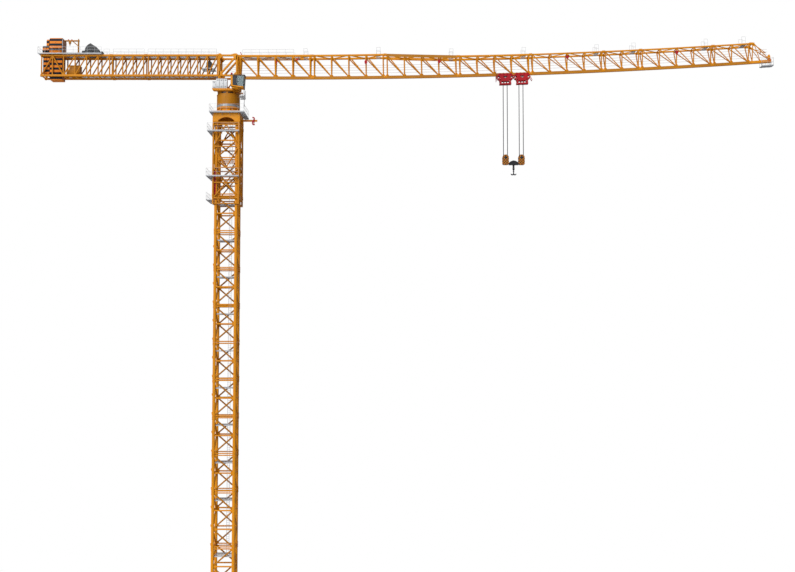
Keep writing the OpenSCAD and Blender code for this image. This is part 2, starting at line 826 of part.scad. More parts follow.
// Pulleys that hang from the upper cross bars and carry the ropes
module rope_pulleys() {
  color(red)
    for (place = [[0, 2], [0, 3], [1, 3], [2, 3], [3, 2], [4, 2], [6, 2]]) {
      x = jib_nodes(place[0])[place[1]];
      drop = (place[0] == 0 ? jib_diag + 4 : jib_diag) / 2 + (place[0] == 0 ? grate_t + 0.3 : 0);
      at_jib(x)
        translate([0, 0, truss_h(x) - drop]) {
          block([-5, -4, -26], [5, 4, -0.2]);
          translate([0, 0, -24]) rotate([90, 0, 0]) cylinder(h = 12, r = 13, center = true);
        }
    }
}

// Ropes from the trolley winch along the jib to the sheave at its tip
module jib_ropes() {
  xs = [head_face, jib_heights[1][0], jib_heights[2][0], jib_starts[5] - joint_gap / 2,
    jib_starts[8] + jib_tip_len - 50.4];
  drum_x = -300 + 40 + rope_d / 2 + 0.2;
  color(black)
    for (h = [60, 90]) {
      start = [drum_x + (h > 60 ? 0.3 : 0), 0, winch_z + (h > 60 ? 5 : 0)];
      tube(start, jib_pt(xs[0], 0, h), rope_d);
      for (i = [0 : len(xs) - 2])
        tube(jib_pt(xs[i], 0, h), jib_pt(xs[i + 1], 0, h), rope_d);
    }
}

// Counter-jib

cj_joints = [-1820, -1276];

// A stretch of the counter-jib between two faces, with its frames at the stations xs
module cj_truss(face_out, face_in, xs, open_end) {
  y = cj_w / 2;
  c = cj_chord;
  for (s = [-1, 1]) {
    for (z = [cj_low_z, cj_up_z]) {
      block([face_out, s * y - c / 2, z - c / 2], [face_in, s * y + c / 2, z + c / 2]);
      for (x = [face_out, face_in - 20])
        block([x, s * y - c / 2 - 4, z - c / 2 - 4], [x + 20, s * y + c / 2 + 4, z + c / 2 + 4]);
    }
    for (i = [0 : len(xs) - 1]) {
      bar([xs[i], s * y, cj_low_z], [xs[i], s * y, cj_up_z], cj_diag, cj_diag);
      rising = !(open_end && i == 1);
      if (i < len(xs) - 1)
        tube([xs[i], s * y, rising ? cj_low_z : cj_up_z], [xs[i + 1], s * y, rising ? cj_up_z : cj_low_z], cj_diag);
    }
  }
  for (i = [0 : len(xs) - 1])
    if (!(open_end && i == 1))
      for (z = [cj_low_z, cj_up_z])
        bar([xs[i], -y, z], [xs[i], y, z], cj_diag, cj_diag);
}

module counter_jib_inner() {
  color(orange)
    cj_truss(cj_joints[1], head_left - cj_chord / 2, steps(cj_joints[1] + 38, head_left - 28, 7), false);
}

module counter_jib_middle() {
  color(orange)
    cj_truss(cj_joints[0], cj_joints[1], steps(cj_joints[0] + 20, cj_joints[1] - 37, 3), false);
}

cj_end = -cj_len;
cj_bay = 171;
ballast_in = cj_end + 2 * cj_bay + 14;

// The outer section: two bays that hold the ballast, then three under the winch
module counter_jib_outer() {
  color(orange)
    cj_truss(cj_end, cj_joints[0],
      concat([cj_end + 14, cj_end + 14 + cj_bay], steps(ballast_in, cj_joints[0] - 22, 4)), true);
}

deck_z = cj_up_z + cj_chord / 2 + 4;
deck_y = 164;
deck_end = cj_end - 34;

// Deck round the ballast's opening, on bearers across the chords
module counter_deck() {
  y = deck_y;
  last = deck_end + cj_deck_len;
  color(steel) {
    difference() {
      block([deck_end, -y, deck_z], [last, y, deck_z + grate_t]);
      block([cj_end + 22, -132, deck_z - 1], [ballast_in - 12, 132, deck_z + grate_t + 1]);
    }
    for (x = steps(ballast_in - 8, last - 24, 3))
      block([x, -y, deck_z - 4], [x + 12, y, deck_z]);
  }
}

function rail_run(from, to, count, y, z) = steps([from, y, z], [to, y, z], count);

module counter_railings() {
  z = deck_z + grate_t;
  chord = cj_up_z + cj_chord / 2;
  last = deck_end + cj_deck_len;
  h = rail_h - 22;
  color(steel) {
    for (s = [-1, 1]) {
      handrail(rail_run(deck_end + 2, last - 2, 9, s * (deck_y - 2), z), h);
      for (run = [[last + 24, cj_joints[0] - 30, 1], [cj_joints[0] + 30, cj_joints[1] - 30, 4],
        [cj_joints[1] + 30, -176, 9]])
        handrail(rail_run(run[0], run[1], run[2], s * cj_w / 2, chord), h - 8);
    }
    handrail(steps([deck_end + 2, -deck_y + 2, z], [deck_end + 2, deck_y - 2, z], 3), h);
  }
}

// Widths, depths under the seat and heights over it of the three ballast blocks
ballast = [[56, 300, 135], [43, 300, 238], [193, 393, 262]];
function ballast_x(i) = cj_end + ballast_gap + (i > 0 ? ballast[0][0] + 4 : 0) + (i > 1 ? ballast[1][0] + 4 : 0);

// Three blocks that hang between the chords from their wider heads
module ballast_blocks() {
  seat = cj_up_z + cj_chord / 2;
  head = cj_w / 2 + cj_chord / 2;
  color(black)
    for (i = [0 : 2])
      translate([ballast_x(i), 0, seat]) rotate([90, 0, 90])
        linear_extrude(ballast[i][0])
          polygon([[-ballast_depth / 2, -ballast[i][1]], [ballast_depth / 2, -ballast[i][1]],
            [ballast_depth / 2, 0], [head, 0], [head, ballast[i][2] - 20], [head - 20, ballast[i][2]],
            [-head + 20, ballast[i][2]], [-head, ballast[i][2] - 20], [-head, 0], [-ballast_depth / 2, 0]]);
}

winch_x = deck_end + 662;

// Hoist winch: bed, motor, gearbox and the drum under its stepped cover
module hoist_winch() {
  z = deck_z + grate_t;
  color(grey)
    translate([winch_x, 0, z]) {
      rotate([90, 0, 0])
        linear_extrude(150, center = true)
          polygon([[0, 0], [0, 52], [6, 58], [44, 60], [48, 90], [62, 120], [78, 140], [100, 158], [128, 170],
            [136, 176], [144, 170], [180, 146], [216, 126], [236, 108], [252, 82], [262, 60], [276, 44], [276, 0]]);
      block([270, -60, 0], [322, 60, 12]);
      translate([302, 0, 30]) rotate([90, 0, 0]) cylinder(h = 96, r = 20, center = true);
      for (s = [-1, 1]) {
        translate([134, s * 81, 70]) rotate([90, 0, 0]) cylinder(h = 12, r = 54, center = true);
        translate([134, s * 90, 70]) rotate([90, 0, 0]) cylinder(h = 8, r = 16, center = true);
      }
    }
}

module rope_locker() {
  x = ballast_in + 74;
  low = cj_low_z + cj_diag / 2;
  color(orange) {
    block([x, -66, low], [x + 164, 66, low + 158]);
    block([x - 2, -68, low + 158], [x + 166, 68, low + 164]);
    block([x - 42, -60, low], [x, 60, low + 98]);
  }
}

// Davit with its brace, the wheels on its beam and the chain hoist
module davit() {
  z = deck_z + grate_t;
  x = deck_end + 587;
  reach = 218;
  color(orange) {
    translate([x, 0, z]) cylinder(h = 10, r = 16);
    translate([x, 0, z + 10]) cylinder(h = 230, r = 8);
    block([x - reach, -8, z + 226], [x + 12, 8, z + 242]);
    tube([x, 0, z + 160], [x - 84, 0, z + 230], 8);
    for (k = [0, 1])
      translate([x - 159 + k * 53, 0, z + 249]) rotate([90, 0, 0]) cylinder(h = 10, r = 9, center = true);
    translate([x, 0, z + 242]) cylinder(h = 26, r1 = 12, r2 = 4);
    block([x - 148, -9, z + 200], [x - 124, 9, z + 226]);
    translate([x - 136, 0, z + 160]) cylinder(h = 40, r1 = 2, r2 = 9);
  }
}

winch_z = cj_low_z + 202;

module trolley_winch() {
  z = cj_low_z + 112;
  side = cj_w / 2 - cj_diag / 2;
  color(grey) {
    block([-415, -side, z], [-211, side, z + 12]);
    block([-330, -56, z + 12], [-270, 56, winch_z]);
    translate([-300, 0, winch_z]) rotate([90, 0, 0]) cylinder(h = 90, r = 40, center = true);
  }
}

// Trolleys and hook

wing = 128;

// Side plate of a trolley: wings with a round hole, a slot before the sheaves, corner holes and lower windows
module trolley_plate(t) {
  rotate([90, 0, 0])
    linear_extrude(t, center = true)
      difference() {
        polygon([[-100, 3], [100, 3], [wing - 8, -14], [wing, -28], [wing, -66], [wing - 16, -84], [94, -92],
          [86, -122], [92, -146], [92, -166], [-92, -166], [-92, -146], [-86, -122], [-94, -92],
          [16 - wing, -84], [-wing, -66], [-wing, -28], [8 - wing, -14]]);
        for (s = [-1, 1]) {
          translate([s * 103, -48]) circle(17);
          translate([s * 74, -96]) circle(9);
        }
        translate([-30, -54]) square([60, 20]);
        for (k = [-1 : 1])
          translate([k * 44 - 19, -146]) square([38, 32]);
      }
}

module trolley(x) {
  plate_y = jib_flange_w / 2 + 8;
  wheel_y = jib_web_w / 2 + 10;
  color(red)
    at_jib(x) {
      for (s = [-1, 1]) {
        translate([0, s * plate_y, 0]) trolley_plate(6);
        for (i = [-1.5 : 1 : 1.5])
          translate([i * wheel_pitch, 0, wheel_over + 0.3]) rotate([90, 0, 0]) {
            translate([0, 0, s * wheel_y]) cylinder(h = 12, r = wheel_r, center = true);
            translate([0, 0, s * (wheel_y + plate_y) / 2]) cylinder(h = plate_y - wheel_y, r = 6, center = true);
          }
        block([s * 88 - 4, -plate_y, -118], [s * 88 + 4, plate_y, -62]);
      }
      block([-92, -plate_y, -166], [92, plate_y, -148]);
      translate([0, 0, -62]) rotate([90, 0, 0]) {
        cylinder(h = 2 * plate_y, r = 7, center = true);
        for (s = [-1, 1])
          translate([0, 0, s * 16]) cylinder(h = 14, r = 32, center = true);
      }
    }
}

// The inner trolley carries the link to the outer one and a guard post
module trolley_inner() {
  plate_y = jib_flange_w / 2 + 8;
  trolley(trolley_x - trolley_pitch / 2);
  color(red)
    at_jib(trolley_x - trolley_pitch / 2)
      for (s = [-1, 1]) {
        block([wing - 4, s * plate_y - 3, -62], [trolley_pitch - wing - 0.5, s * plate_y + 3, -34]);
        block([-wing - 18, s * plate_y - 3, -110], [-wing - 10, s * plate_y + 3, 58]);
        block([-wing - 12, s * plate_y - 3, -54], [4 - wing, s * plate_y + 3, -40]);
      }
}

module trolley_outer() {
  plate_y = jib_flange_w / 2 + 8;
  trolley(trolley_x + trolley_pitch / 2);
  color(red)
    at_jib(trolley_x + trolley_pitch / 2)
      for (s = [-1, 1])
        bar([wing - 6, s * plate_y, -44], [wing + 26, s * plate_y, -112], 6, 8);
}

hook_x = jib_pt(trolley_x, 0, 0)[0];
block_z = hook_z + 248;
block_places = [-130, 118];
traverse_low = block_z - 114;
shank_low = block_z - 192;
rope_side = sheave_r + rope_d / 2 + 0.2;

module hoist_ropes() {
  color(black)
    for (x = block_places)
      for (s = [-1, 1]) {
        along = x + s * rope_side;
        top = jib_pt(trolley_x + along, 0, -166.5)[2];
        translate([hook_x + along, 0, block_z]) cylinder(h = top - block_z, d = rope_d, $fn = 8);
      }
}

// Two blocks, each with a sheave on an axle between two rounded plates
module hook_blocks() {
  low = 112;
  r = 24;
  color(orange)
    for (x = block_places)
      translate([hook_x + x, 0, block_z])
        rotate([90, 0, 0]) {
          for (s = [-1, 1])
            translate([0, 0, s * 21])
              linear_extrude(8, center = true) {
                circle(block_r);
                translate([-block_r, r - low]) square([2 * block_r, low - r]);
                translate([r - block_r, -low]) square([2 * (block_r - r), r]);
                for (k = [-1, 1])
                  translate([k * (block_r - r), r - low]) circle(r);
              }
          linear_extrude(34, center = true)
            translate([8 - block_r, 6 - low]) square([2 * block_r - 16, 26]);
          cylinder(h = 34, r = sheave_r, center = true);
          cylinder(h = 60, r = 11, center = true);
        }
}

module hook_traverse() {
  left = block_places[0] + block_r;
  right = block_places[1] - block_r;
  mid = (left + right) / 2;
  half = (right - left) / 2;
  arch = [for (k = [-6 : 6]) [mid + half * k / 6, 66 - 34 * pow(k / 6, 2)]];
  color(black) {
    translate([hook_x, 0, traverse_low])
      rotate([90, 0, 0])
        linear_extrude(52, center = true)
          polygon(concat([[right, 0], [left, 0]], arch));
    translate([hook_x + mid, 0, traverse_low + 60]) cylinder(h = 14, r = 12);
    translate([hook_x + mid, 0, 0])
      rotate_extrude()
        polygon([[0, shank_low], [15, shank_low], [17, shank_low + 8], [15, shank_low + 24], [12, shank_low + 40],
          [13, shank_low + 62], [17, shank_low + 74], [17, traverse_low + 10], [0, traverse_low + 10]]);
  }
}

module ramshorn_hook() {
  color(grey)
    translate([hook_x - 6, 0, hook_z]) {
      translate([0, 0, -horn_d / 2]) cylinder(h = shank_low - 0.3 - hook_z + horn_d / 2, r = 9);
      translate([0, 0, 30]) cylinder(h = 9, r = 13);
      for (s = [-1, 1])
        translate([s * horn_r, 0, 0]) rotate([90, 180, 0])
          rotate_extrude(angle = 180) translate([horn_r, 0]) circle(d = horn_d);
    }
}

foundation_frame();
mast_base_section();
mast_lower_section();
mast_section(1);  // mast_section_1
mast_section(2);  // mast_section_2
mast_section(3);  // mast_section_3
mast_section(4);  // mast_section_4
mast_section(5);  // mast_section_5
mast_section(6);  // mast_section_6
mast_section(7);  // mast_section_7
mast_section(8);  // mast_section_8
mast_section(9);  // mast_section_9
mast_section(10);  // mast_section_10
mast_access();
climbing_frame();
climbing_walkways();
climbing_cylinder();
monorail_beam();
monorail_hoist();
ring_support();
slewing_ring_lower();
slewing_ring_upper();
slewing_drum();
slewing_deck();
drum_landing();
switch_cabinets();
cab_bracket();
cab_shell();
cab_glass();
head_frame();
jib_section(1);  // jib_section_1
jib_section(2);  // jib_section_2
jib_section(3);  // jib_section_3
jib_section(4);  // jib_section_4
jib_section(5);  // jib_section_5
jib_section(6);  // jib_section_6
jib_section(7);  // jib_section_7
jib_section(8);  // jib_section_8
jib_tip();
tip_platform();
jib_walkways();
rope_pulleys();
jib_ropes();
counter_jib_inner();
counter_jib_middle();
counter_jib_outer();
counter_deck();
counter_railings();
ballast_blocks();
hoist_winch();
rope_locker();
davit();
trolley_winch();
trolley_inner();
trolley_outer();
hoist_ropes();
hook_blocks();
hook_traverse();
ramshorn_hook();
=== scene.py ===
import math
import bpy
import numpy as np
from mathutils.geometry import tessellate_polygon
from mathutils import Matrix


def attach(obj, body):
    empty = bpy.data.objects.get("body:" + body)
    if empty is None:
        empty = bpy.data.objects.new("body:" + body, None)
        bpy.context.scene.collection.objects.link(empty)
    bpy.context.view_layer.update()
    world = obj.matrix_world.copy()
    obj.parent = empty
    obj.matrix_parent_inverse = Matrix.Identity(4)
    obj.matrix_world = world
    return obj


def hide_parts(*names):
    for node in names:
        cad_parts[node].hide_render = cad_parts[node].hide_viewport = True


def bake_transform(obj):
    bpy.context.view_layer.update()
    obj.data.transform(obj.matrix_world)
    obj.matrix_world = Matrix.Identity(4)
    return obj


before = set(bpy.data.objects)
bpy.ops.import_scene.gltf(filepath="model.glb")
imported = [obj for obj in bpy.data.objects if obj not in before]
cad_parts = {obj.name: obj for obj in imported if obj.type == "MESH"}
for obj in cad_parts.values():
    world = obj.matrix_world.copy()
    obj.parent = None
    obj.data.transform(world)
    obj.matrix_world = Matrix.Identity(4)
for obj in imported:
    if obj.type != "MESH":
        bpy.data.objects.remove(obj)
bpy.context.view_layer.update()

# the camera stands level with the lower third of the mast and looks slightly up
shot = {"place": (2.6505, -16.895, 3.9), "tilt": 93.31, "lens": 49.36, "sensor": 36.0, "clip": 400.0}
lensData = bpy.data.cameras.new("shotCamera")
lensData.lens = shot["lens"]
lensData.sensor_width = shot["sensor"]
lensData.sensor_fit = "HORIZONTAL"
lensData.clip_end = shot["clip"]
shotCamera = bpy.data.objects.new("shotCamera", lensData)
shotCamera.location = shot["place"]
shotCamera.rotation_euler = (math.radians(shot["tilt"]), 0.0, 0.0)
bpy.context.scene.collection.objects.link(shotCamera)
bpy.context.scene.camera = shotCamera
print("camera placed")


class NodeTree:
    # short hand for the nodes of one finish, all of them on Object coordinates
    def __init__(self, name):
        # a material with its shader, ready for nodes that read the object's own coordinates
        self.material = bpy.data.materials.new(name)
        self.material.use_nodes = True
        self.nodes = self.material.node_tree.nodes
        self.links = self.material.node_tree.links
        self.shader = self.nodes["Principled BSDF"]
        self.place = self.add("ShaderNodeTexCoord").outputs["Object"]

    def add(self, kind, **values):
        # a new node with the given settings
        node = self.nodes.new(kind)
        for key, value in values.items():
            setattr(node, key, value)
        return node

    def feed(self, source, target):
        # link a socket to the target, or write a plain value into it
        if hasattr(source, "is_linked"):
            self.links.new(source, target)
        else:
            target.default_value = source

    def noise(self, size, detail=4.0, rough=0.55, stretch=(1, 1, 1)):
        # noise over the coordinates times the stretch; a greater size gives a finer pattern
        spread = self.add("ShaderNodeMapping")
        spread.inputs["Scale"].default_value = stretch
        self.feed(self.place, spread.inputs["Vector"])
        node = self.add("ShaderNodeTexNoise")
        for key, number in (("Scale", size), ("Detail", detail), ("Roughness", rough)):
            node.inputs[key].default_value = number
        self.feed(spread.outputs["Vector"], node.inputs["Vector"])
        return node.outputs["Fac"]

    def sum(self, how, first, second=0.0):
        # one arithmetic step on two values
        node = self.add("ShaderNodeMath", operation=how)
        self.feed(first, node.inputs[0])
        self.feed(second, node.inputs[1])
        return node.outputs[0]

    def span(self, value, low, high, start=0.0, end=1.0):
        # start plus (value - low) / (high - low) times (end - start), held between start and end
        node = self.add("ShaderNodeMapRange")
        self.feed(value, node.inputs["Value"])
        for key, number in (("From Min", low), ("From Max", high), ("To Min", start), ("To Max", end)):
            node.inputs[key].default_value = number
        return node.outputs["Result"]

    def mix(self, share, first, second):
        # the first colour times (1 - share) plus the second times the share
        node = self.add("ShaderNodeMix", data_type="RGBA")
        self.feed(share, node.inputs["Factor"])
        for colour, key in ((first, "A"), (second, "B")):
            self.feed(colour + (1.0,) if isinstance(colour, tuple) else colour, node.inputs[key])
        return node.outputs["Result"]

    def soiled(self, share, strength, tint, dirt):
        # the tint with dirt laid over it where the share is high
        return self.mix(self.sum("MULTIPLY", share, strength), tint, dirt)

    def fraction(self, value, pitch):
        # the part of the value over the pitch behind the decimal point
        return self.sum("FRACT", self.sum("DIVIDE", value, pitch))

    def axes(self):
        # the three coordinates apart
        node = self.add("ShaderNodeSeparateXYZ")
        self.feed(self.place, node.inputs[0])
        return node.outputs

    def bump(self, height, strength, distance=0.002):
        # tilts the shading normal by the slope of the height
        node = self.add("ShaderNodeBump")
        node.inputs["Strength"].default_value = strength
        node.inputs["Distance"].default_value = distance
        self.feed(height, node.inputs["Height"])
        self.feed(node.outputs["Normal"], self.shader.inputs["Normal"])

    def finish(self, colour, rough, metallic=0.0, gloss=0.5):
        # feeds the shader and hands back the material
        self.shader.inputs["Specular IOR Level"].default_value = gloss
        self.feed(colour, self.shader.inputs["Base Color"])
        self.feed(rough, self.shader.inputs["Roughness"])
        self.feed(metallic, self.shader.inputs["Metallic"])
        return self.material


def weatheredPaint(name, colour, shade, rough=0.42, wear=0.35, grime=(0.16, 0.11, 0.06)):
    # paint with soft fading, rain streaks down the faces, grime in patches and a few chips
    tree = NodeTree(name)
    fade = tree.span(tree.noise(0.9, 3.0), 0.35, 0.65)
    streaks = tree.span(tree.noise(16.0, 4.0, 0.6, (1.0, 1.0, 0.07)), 0.52, 0.74)
    patches = tree.span(tree.noise(5.5, 6.0, 0.65), 0.52, 0.72)
    chips = tree.span(tree.noise(70.0, 3.0, 0.7), 0.69, 0.72)
    tint = tree.mix(fade, colour, shade)
    tint = tree.soiled(streaks, 0.30 * wear, tint, grime)
    tint = tree.soiled(patches, 0.45 * wear, tint, grime)
    tint = tree.soiled(chips, wear, tint, (0.22, 0.20, 0.18))
    roughness = tree.span(tree.noise(9.0, 5.0), 0.3, 0.7, rough - 0.08, rough + 0.16)
    tree.bump(tree.sum("ADD", tree.noise(120.0, 2.0), tree.sum("MULTIPLY", chips, -0.6)), 0.10, 0.0012)
    return tree.finish(tint, roughness, gloss=0.22)


def galvanised(name, light, dark, rough=0.46):
    # zinc with its spangle: cells of slightly different grey, dull patches and streaks
    tree = NodeTree(name)
    cells = tree.add("ShaderNodeTexVoronoi")
    cells.inputs["Scale"].default_value = 45.0
    tree.feed(tree.place, cells.inputs["Vector"])
    spangle = tree.span(cells.outputs["Color"], 0.0, 1.0, 0.0, 0.45)
    dull = tree.span(tree.noise(4.0, 6.0, 0.62), 0.4, 0.66)
    tint = tree.soiled(dull, 0.45, tree.mix(spangle, light, dark), dark)
    roughness = tree.span(tree.noise(22.0, 4.0), 0.3, 0.7, rough - 0.1, rough + 0.14)
    tree.bump(tree.noise(160.0, 2.0), 0.07, 0.001)
    return tree.finish(tint, roughness, 0.3, 0.4)


def bandedPaint(name, light, dark, band, offset):
    # level bands: the height over the band's size, dark where the fraction is below a half
    tree = NodeTree(name)
    turn = tree.fraction(tree.sum("ADD", tree.axes()[2], offset), band)
    isDark = tree.sum("MULTIPLY", tree.span(turn, 0.025, 0.035), tree.span(turn, 0.52, 0.53, 1.0, 0.0))
    edge = tree.noise(30.0, 4.0, 0.6)
    grime = tree.span(tree.noise(7.0, 6.0, 0.65), 0.5, 0.75)
    tint = tree.soiled(grime, 0.22, tree.mix(isDark, light, dark), (0.13, 0.11, 0.10))
    tree.bump(tree.sum("ADD", edge, tree.noise(140.0, 2.0)), 0.16, 0.0014)
    return tree.finish(tint, tree.span(edge, 0.3, 0.7, 0.5, 0.72), gloss=0.2)


def hatchedPaint(name, light, dark, pitch, share, cross=False):
    # slanting bands: fraction of (x + y + z) over the pitch, and of (x + y - z) too for a crossed hatch
    tree = NodeTree(name)
    x, y, z = tree.axes()
    flat = tree.sum("ADD", x, y)
    isDark = tree.span(tree.fraction(tree.sum("ADD", flat, z), pitch), share, share + 0.03, 1.0, 0.0)
    if cross:
        falling = tree.fraction(tree.sum("SUBTRACT", flat, z), pitch)
        isDark = tree.sum("MAXIMUM", isDark, tree.span(falling, share, share + 0.03, 1.0, 0.0))
    grime = tree.span(tree.noise(12.0, 6.0, 0.65), 0.5, 0.75)
    tint = tree.soiled(grime, 0.25, tree.mix(isDark, light, dark), (0.12, 0.10, 0.09))
    tree.bump(tree.noise(130.0, 3.0), 0.12, 0.001)
    return tree.finish(tint, tree.span(grime, 0.0, 1.0, 0.42, 0.66), gloss=0.2)


def strandedRope(name, dark, light):
    # laid strands: a sine of the place along the rope plus the place across it; the colour runs dark in the
    # grooves and light on the crests, painted shade and painted highlight
    tree = NodeTree(name)
    x, y, z = tree.axes()
    lay = tree.sum("ADD", tree.sum("ADD", x, z), tree.sum("MULTIPLY", y, 0.8))
    crest = tree.span(tree.sum("SINE", tree.sum("MULTIPLY", lay, 900.0)), -1.0, 1.0)
    tree.bump(crest, 0.5, 0.0006)
    return tree.finish(tree.mix(crest, dark, light), 0.55, 0.2, 0.3)


def windowGlass(name, deep, pale):
    # tinted panes: two greens mixed by a slow noise, with a little light let through
    tree = NodeTree(name)
    tint = tree.mix(tree.span(tree.noise(3.0, 2.0), 0.3, 0.7), deep, pale)
    for key, number in (("Transmission Weight", 0.15), ("IOR", 1.45), ("Alpha", 0.9)):
        tree.shader.inputs[key].default_value = number
    return tree.finish(tint, 0.06)


orangePaint = weatheredPaint("orangePaint", (0.70, 0.266, 0.003), (0.60, 0.220, 0.003), rough=0.46,
                             wear=0.24, grime=(0.20, 0.09, 0.01))
# a darker copy of the orange paint: painted shade for parts that lie in shade
paintedShadeOrange = weatheredPaint("paintedShadeOrange", (0.44, 0.172, 0.005), (0.375, 0.143, 0.004), rough=0.5,
                              wear=0.34, grime=(0.14, 0.06, 0.01))
# a slightly darker copy of the orange paint: painted shade for the climbing frame and the counter-jib's
# braces
paintedHalfShadeOrange = weatheredPaint("paintedHalfShadeOrange", (0.57, 0.215, 0.003), (0.50, 0.18, 0.003), rough=0.46,
                              wear=0.24, grime=(0.18, 0.08, 0.01))
zincSteel = galvanised("zincSteel", (0.42, 0.43, 0.45), (0.28, 0.29, 0.31))
# a lighter copy of the zinc finish: the railings' own pale steel, and painted light on floors whose
# undersides lie in shade
paleSteel = galvanised("paleSteel", (0.52, 0.53, 0.55), (0.40, 0.41, 0.43), rough=0.5)
redPaint = weatheredPaint("redPaint", (0.42, 0.004, 0.012), (0.32, 0.003, 0.010), rough=0.46,
                          wear=0.25, grime=(0.10, 0.02, 0.02))
winchGrey = weatheredPaint("winchGrey", (0.055, 0.058, 0.06), (0.085, 0.088, 0.09), rough=0.5)
cabinetGrey = weatheredPaint("cabinetGrey", (0.70, 0.71, 0.72), (0.63, 0.64, 0.65), rough=0.4,
                             wear=0.22, grime=(0.30, 0.29, 0.27))
blackPaint = weatheredPaint("blackPaint", (0.012, 0.012, 0.015), (0.02, 0.02, 0.024), rough=0.32,
                            wear=0.25, grime=(0.08, 0.075, 0.07))
darkPanel = weatheredPaint("darkPanel", (0.012, 0.017, 0.026), (0.018, 0.024, 0.034), rough=0.3,
                           wear=0.15, grime=(0.08, 0.08, 0.08))
forgedSteel = galvanised("forgedSteel", (0.05, 0.05, 0.055), (0.03, 0.03, 0.034), rough=0.5)
wornSteel = galvanised("wornSteel", (0.42, 0.43, 0.45), (0.25, 0.26, 0.27), rough=0.34)
bandColours = {"light": (0.78, 0.23, 0.018), "dark": (0.006, 0.012, 0.022), "band": 0.074}
ballastBands = bandedPaint("ballastBands", **bandColours, offset=0.0327)
smallBands = bandedPaint("smallBands", **bandColours, offset=0.066)
sideHatch = hatchedPaint("sideHatch", (0.80, 0.34, 0.13), (0.03, 0.045, 0.07), pitch=0.088, share=0.46)
blockHatch = hatchedPaint("blockHatch", (0.62, 0.21, 0.010), (0.012, 0.010, 0.008), pitch=0.042, share=0.36,
                          cross=True)
wireRope = strandedRope("wireRope", (0.03, 0.03, 0.032), (0.11, 0.11, 0.115))
# the jib's ropes in light orange-brown
orangeBrownRope = strandedRope("orangeBrownRope", (0.30, 0.15, 0.08), (0.52, 0.30, 0.18))
cabGlass = windowGlass("cabGlass", (0.04, 0.095, 0.105), (0.10, 0.20, 0.21))
print("materials made")

# every part is its points and its sets of faces, each set with one number of corners, in millimetres
forwards, sideways, upwards, downwards = (1, 0, 0), (0, 1, 0), (0, 0, 1), (0, 0, -1)


def line(*points):
    # points as rows of numbers
    return np.array(points, float)


def rectangle(width, height):
    # four corners at half the width and half the height, counter-clockwise
    w, h = width / 2, height / 2
    return line((w, -h), (w, h), (-w, h), (-w, -h))


def barOutline(width, height, cut=2.0):
    # a rectangle with its four corners cut off at 45 degrees
    w, h = width / 2, height / 2
    c = min(cut, w * 0.4, h * 0.4)
    return line((w, c - h), (w, h - c), (w - c, h), (c - w, h), (-w, h - c), (-w, c - h), (c - w, -h),
                (w - c, -h))


def circleOutline(radius, sides, turn=0.5):
    # corners at radius times the cosine and sine of equal steps of angle
    angle = 2 * math.pi * (np.arange(sides) + turn) / sides
    return np.stack([np.cos(angle), np.sin(angle)], 1) * radius


def arcOutline(centre, radius, first, last, count):
    # points on an arc from one angle in degrees to another: centre + radius * (cos, sin)
    angle = np.radians(np.linspace(first, last, count))
    return np.asarray(centre, float) + radius * np.stack([np.cos(angle), np.sin(angle)], 1)


def tubeFaces(rows, sides, closed=False):
    # walls between rings of points, (k, j), (k, j + 1), (k + 1, j + 1), (k + 1, j), and both end faces
    # a closed tube joins its last ring to its first and has no end faces
    k, j = np.meshgrid(np.arange(rows if closed else rows - 1), np.arange(sides), indexing="ij")
    over, n = (k + 1) % rows, (j + 1) % sides
    walls = np.stack([k * sides + j, k * sides + n, over * sides + n, over * sides + j], -1).reshape(-1, 4)
    end = np.arange(sides)[None]
    return [walls] if closed else [walls, end[:, ::-1], end + (rows - 1) * sides]


def copiedFaces(faceSets, copies, step):
    # the same faces for each copy, their numbers shifted by the step from copy to copy
    shift = (np.arange(copies) * step)[:, None, None]
    return [(faces[None] + shift).reshape(-1, faces.shape[1]) for faces in faceSets]


def unit(vectors):
    # each vector over its own length
    return vectors / np.linalg.norm(vectors, axis=-1, keepdims=True)


def frames(starts, ends, up):
    # along each line: its direction, a side at right angles to up, and the third axis
    a, b = np.broadcast_arrays(*(np.atleast_2d(np.asarray(p, float)) for p in (starts, ends)))
    along = unit(b - a)
    lift = np.broadcast_to(np.asarray(up, float), along.shape).copy()
    lift[np.abs((along * lift).sum(1)) > 0.985] = forwards
    side = unit(np.cross(lift, along))
    return a, b, along, side, np.cross(along, side)


def prisms(outline, starts, ends, up=upwards):
    # an outline (u, v) carried from each start to each end: point = line + u * side + v * lift
    a, b, along, side, lift = frames(starts, ends, up)
    outline = np.broadcast_to(np.asarray(outline, float), (len(a),) + np.shape(outline)[-2:])
    ring = outline[:, :, :1] * side[:, None, :] + outline[:, :, 1:] * lift[:, None, :]
    points = np.concatenate([a[:, None] + ring, b[:, None] + ring], 1)
    sides = outline.shape[1]
    return points.reshape(-1, 3), copiedFaces(tubeFaces(2, sides), len(a), 2 * sides)


def rods(starts, ends, radius, sides=10):
    # round members from each start to its end
    return prisms(circleOutline(radius, sides), starts, ends)


def bars(starts, ends, width, height, cut=2.0, up=upwards):
    # square members with cut edges from each start to its end
    return prisms(barOutline(width, height, cut), starts, ends, up)


def blocks(lows, highs, cut=1.5):
    # boxes between their low and high corners, with their long edges along x cut off
    a, b = (np.atleast_2d(np.asarray(corners, float)) for corners in (lows, highs))
    low, high = np.minimum(a, b), np.maximum(a, b)
    middle = (low + high)[:, 1:] / 2
    outline = np.stack([barOutline(y, z, cut) for y, z in (high - low)[:, 1:]])
    return prisms(outline, np.column_stack([low[:, 0], middle]), np.column_stack([high[:, 0], middle]))


def sheets(outline, centres, thick, axis=(0, -1, 0)):
    # flat sheets: u runs to the right and v up when one looks against the axis
    centres = np.atleast_2d(np.asarray(centres, float))
    half = np.asarray(axis, float) * thick / 2
    return prisms(outline, centres - half, centres + half)


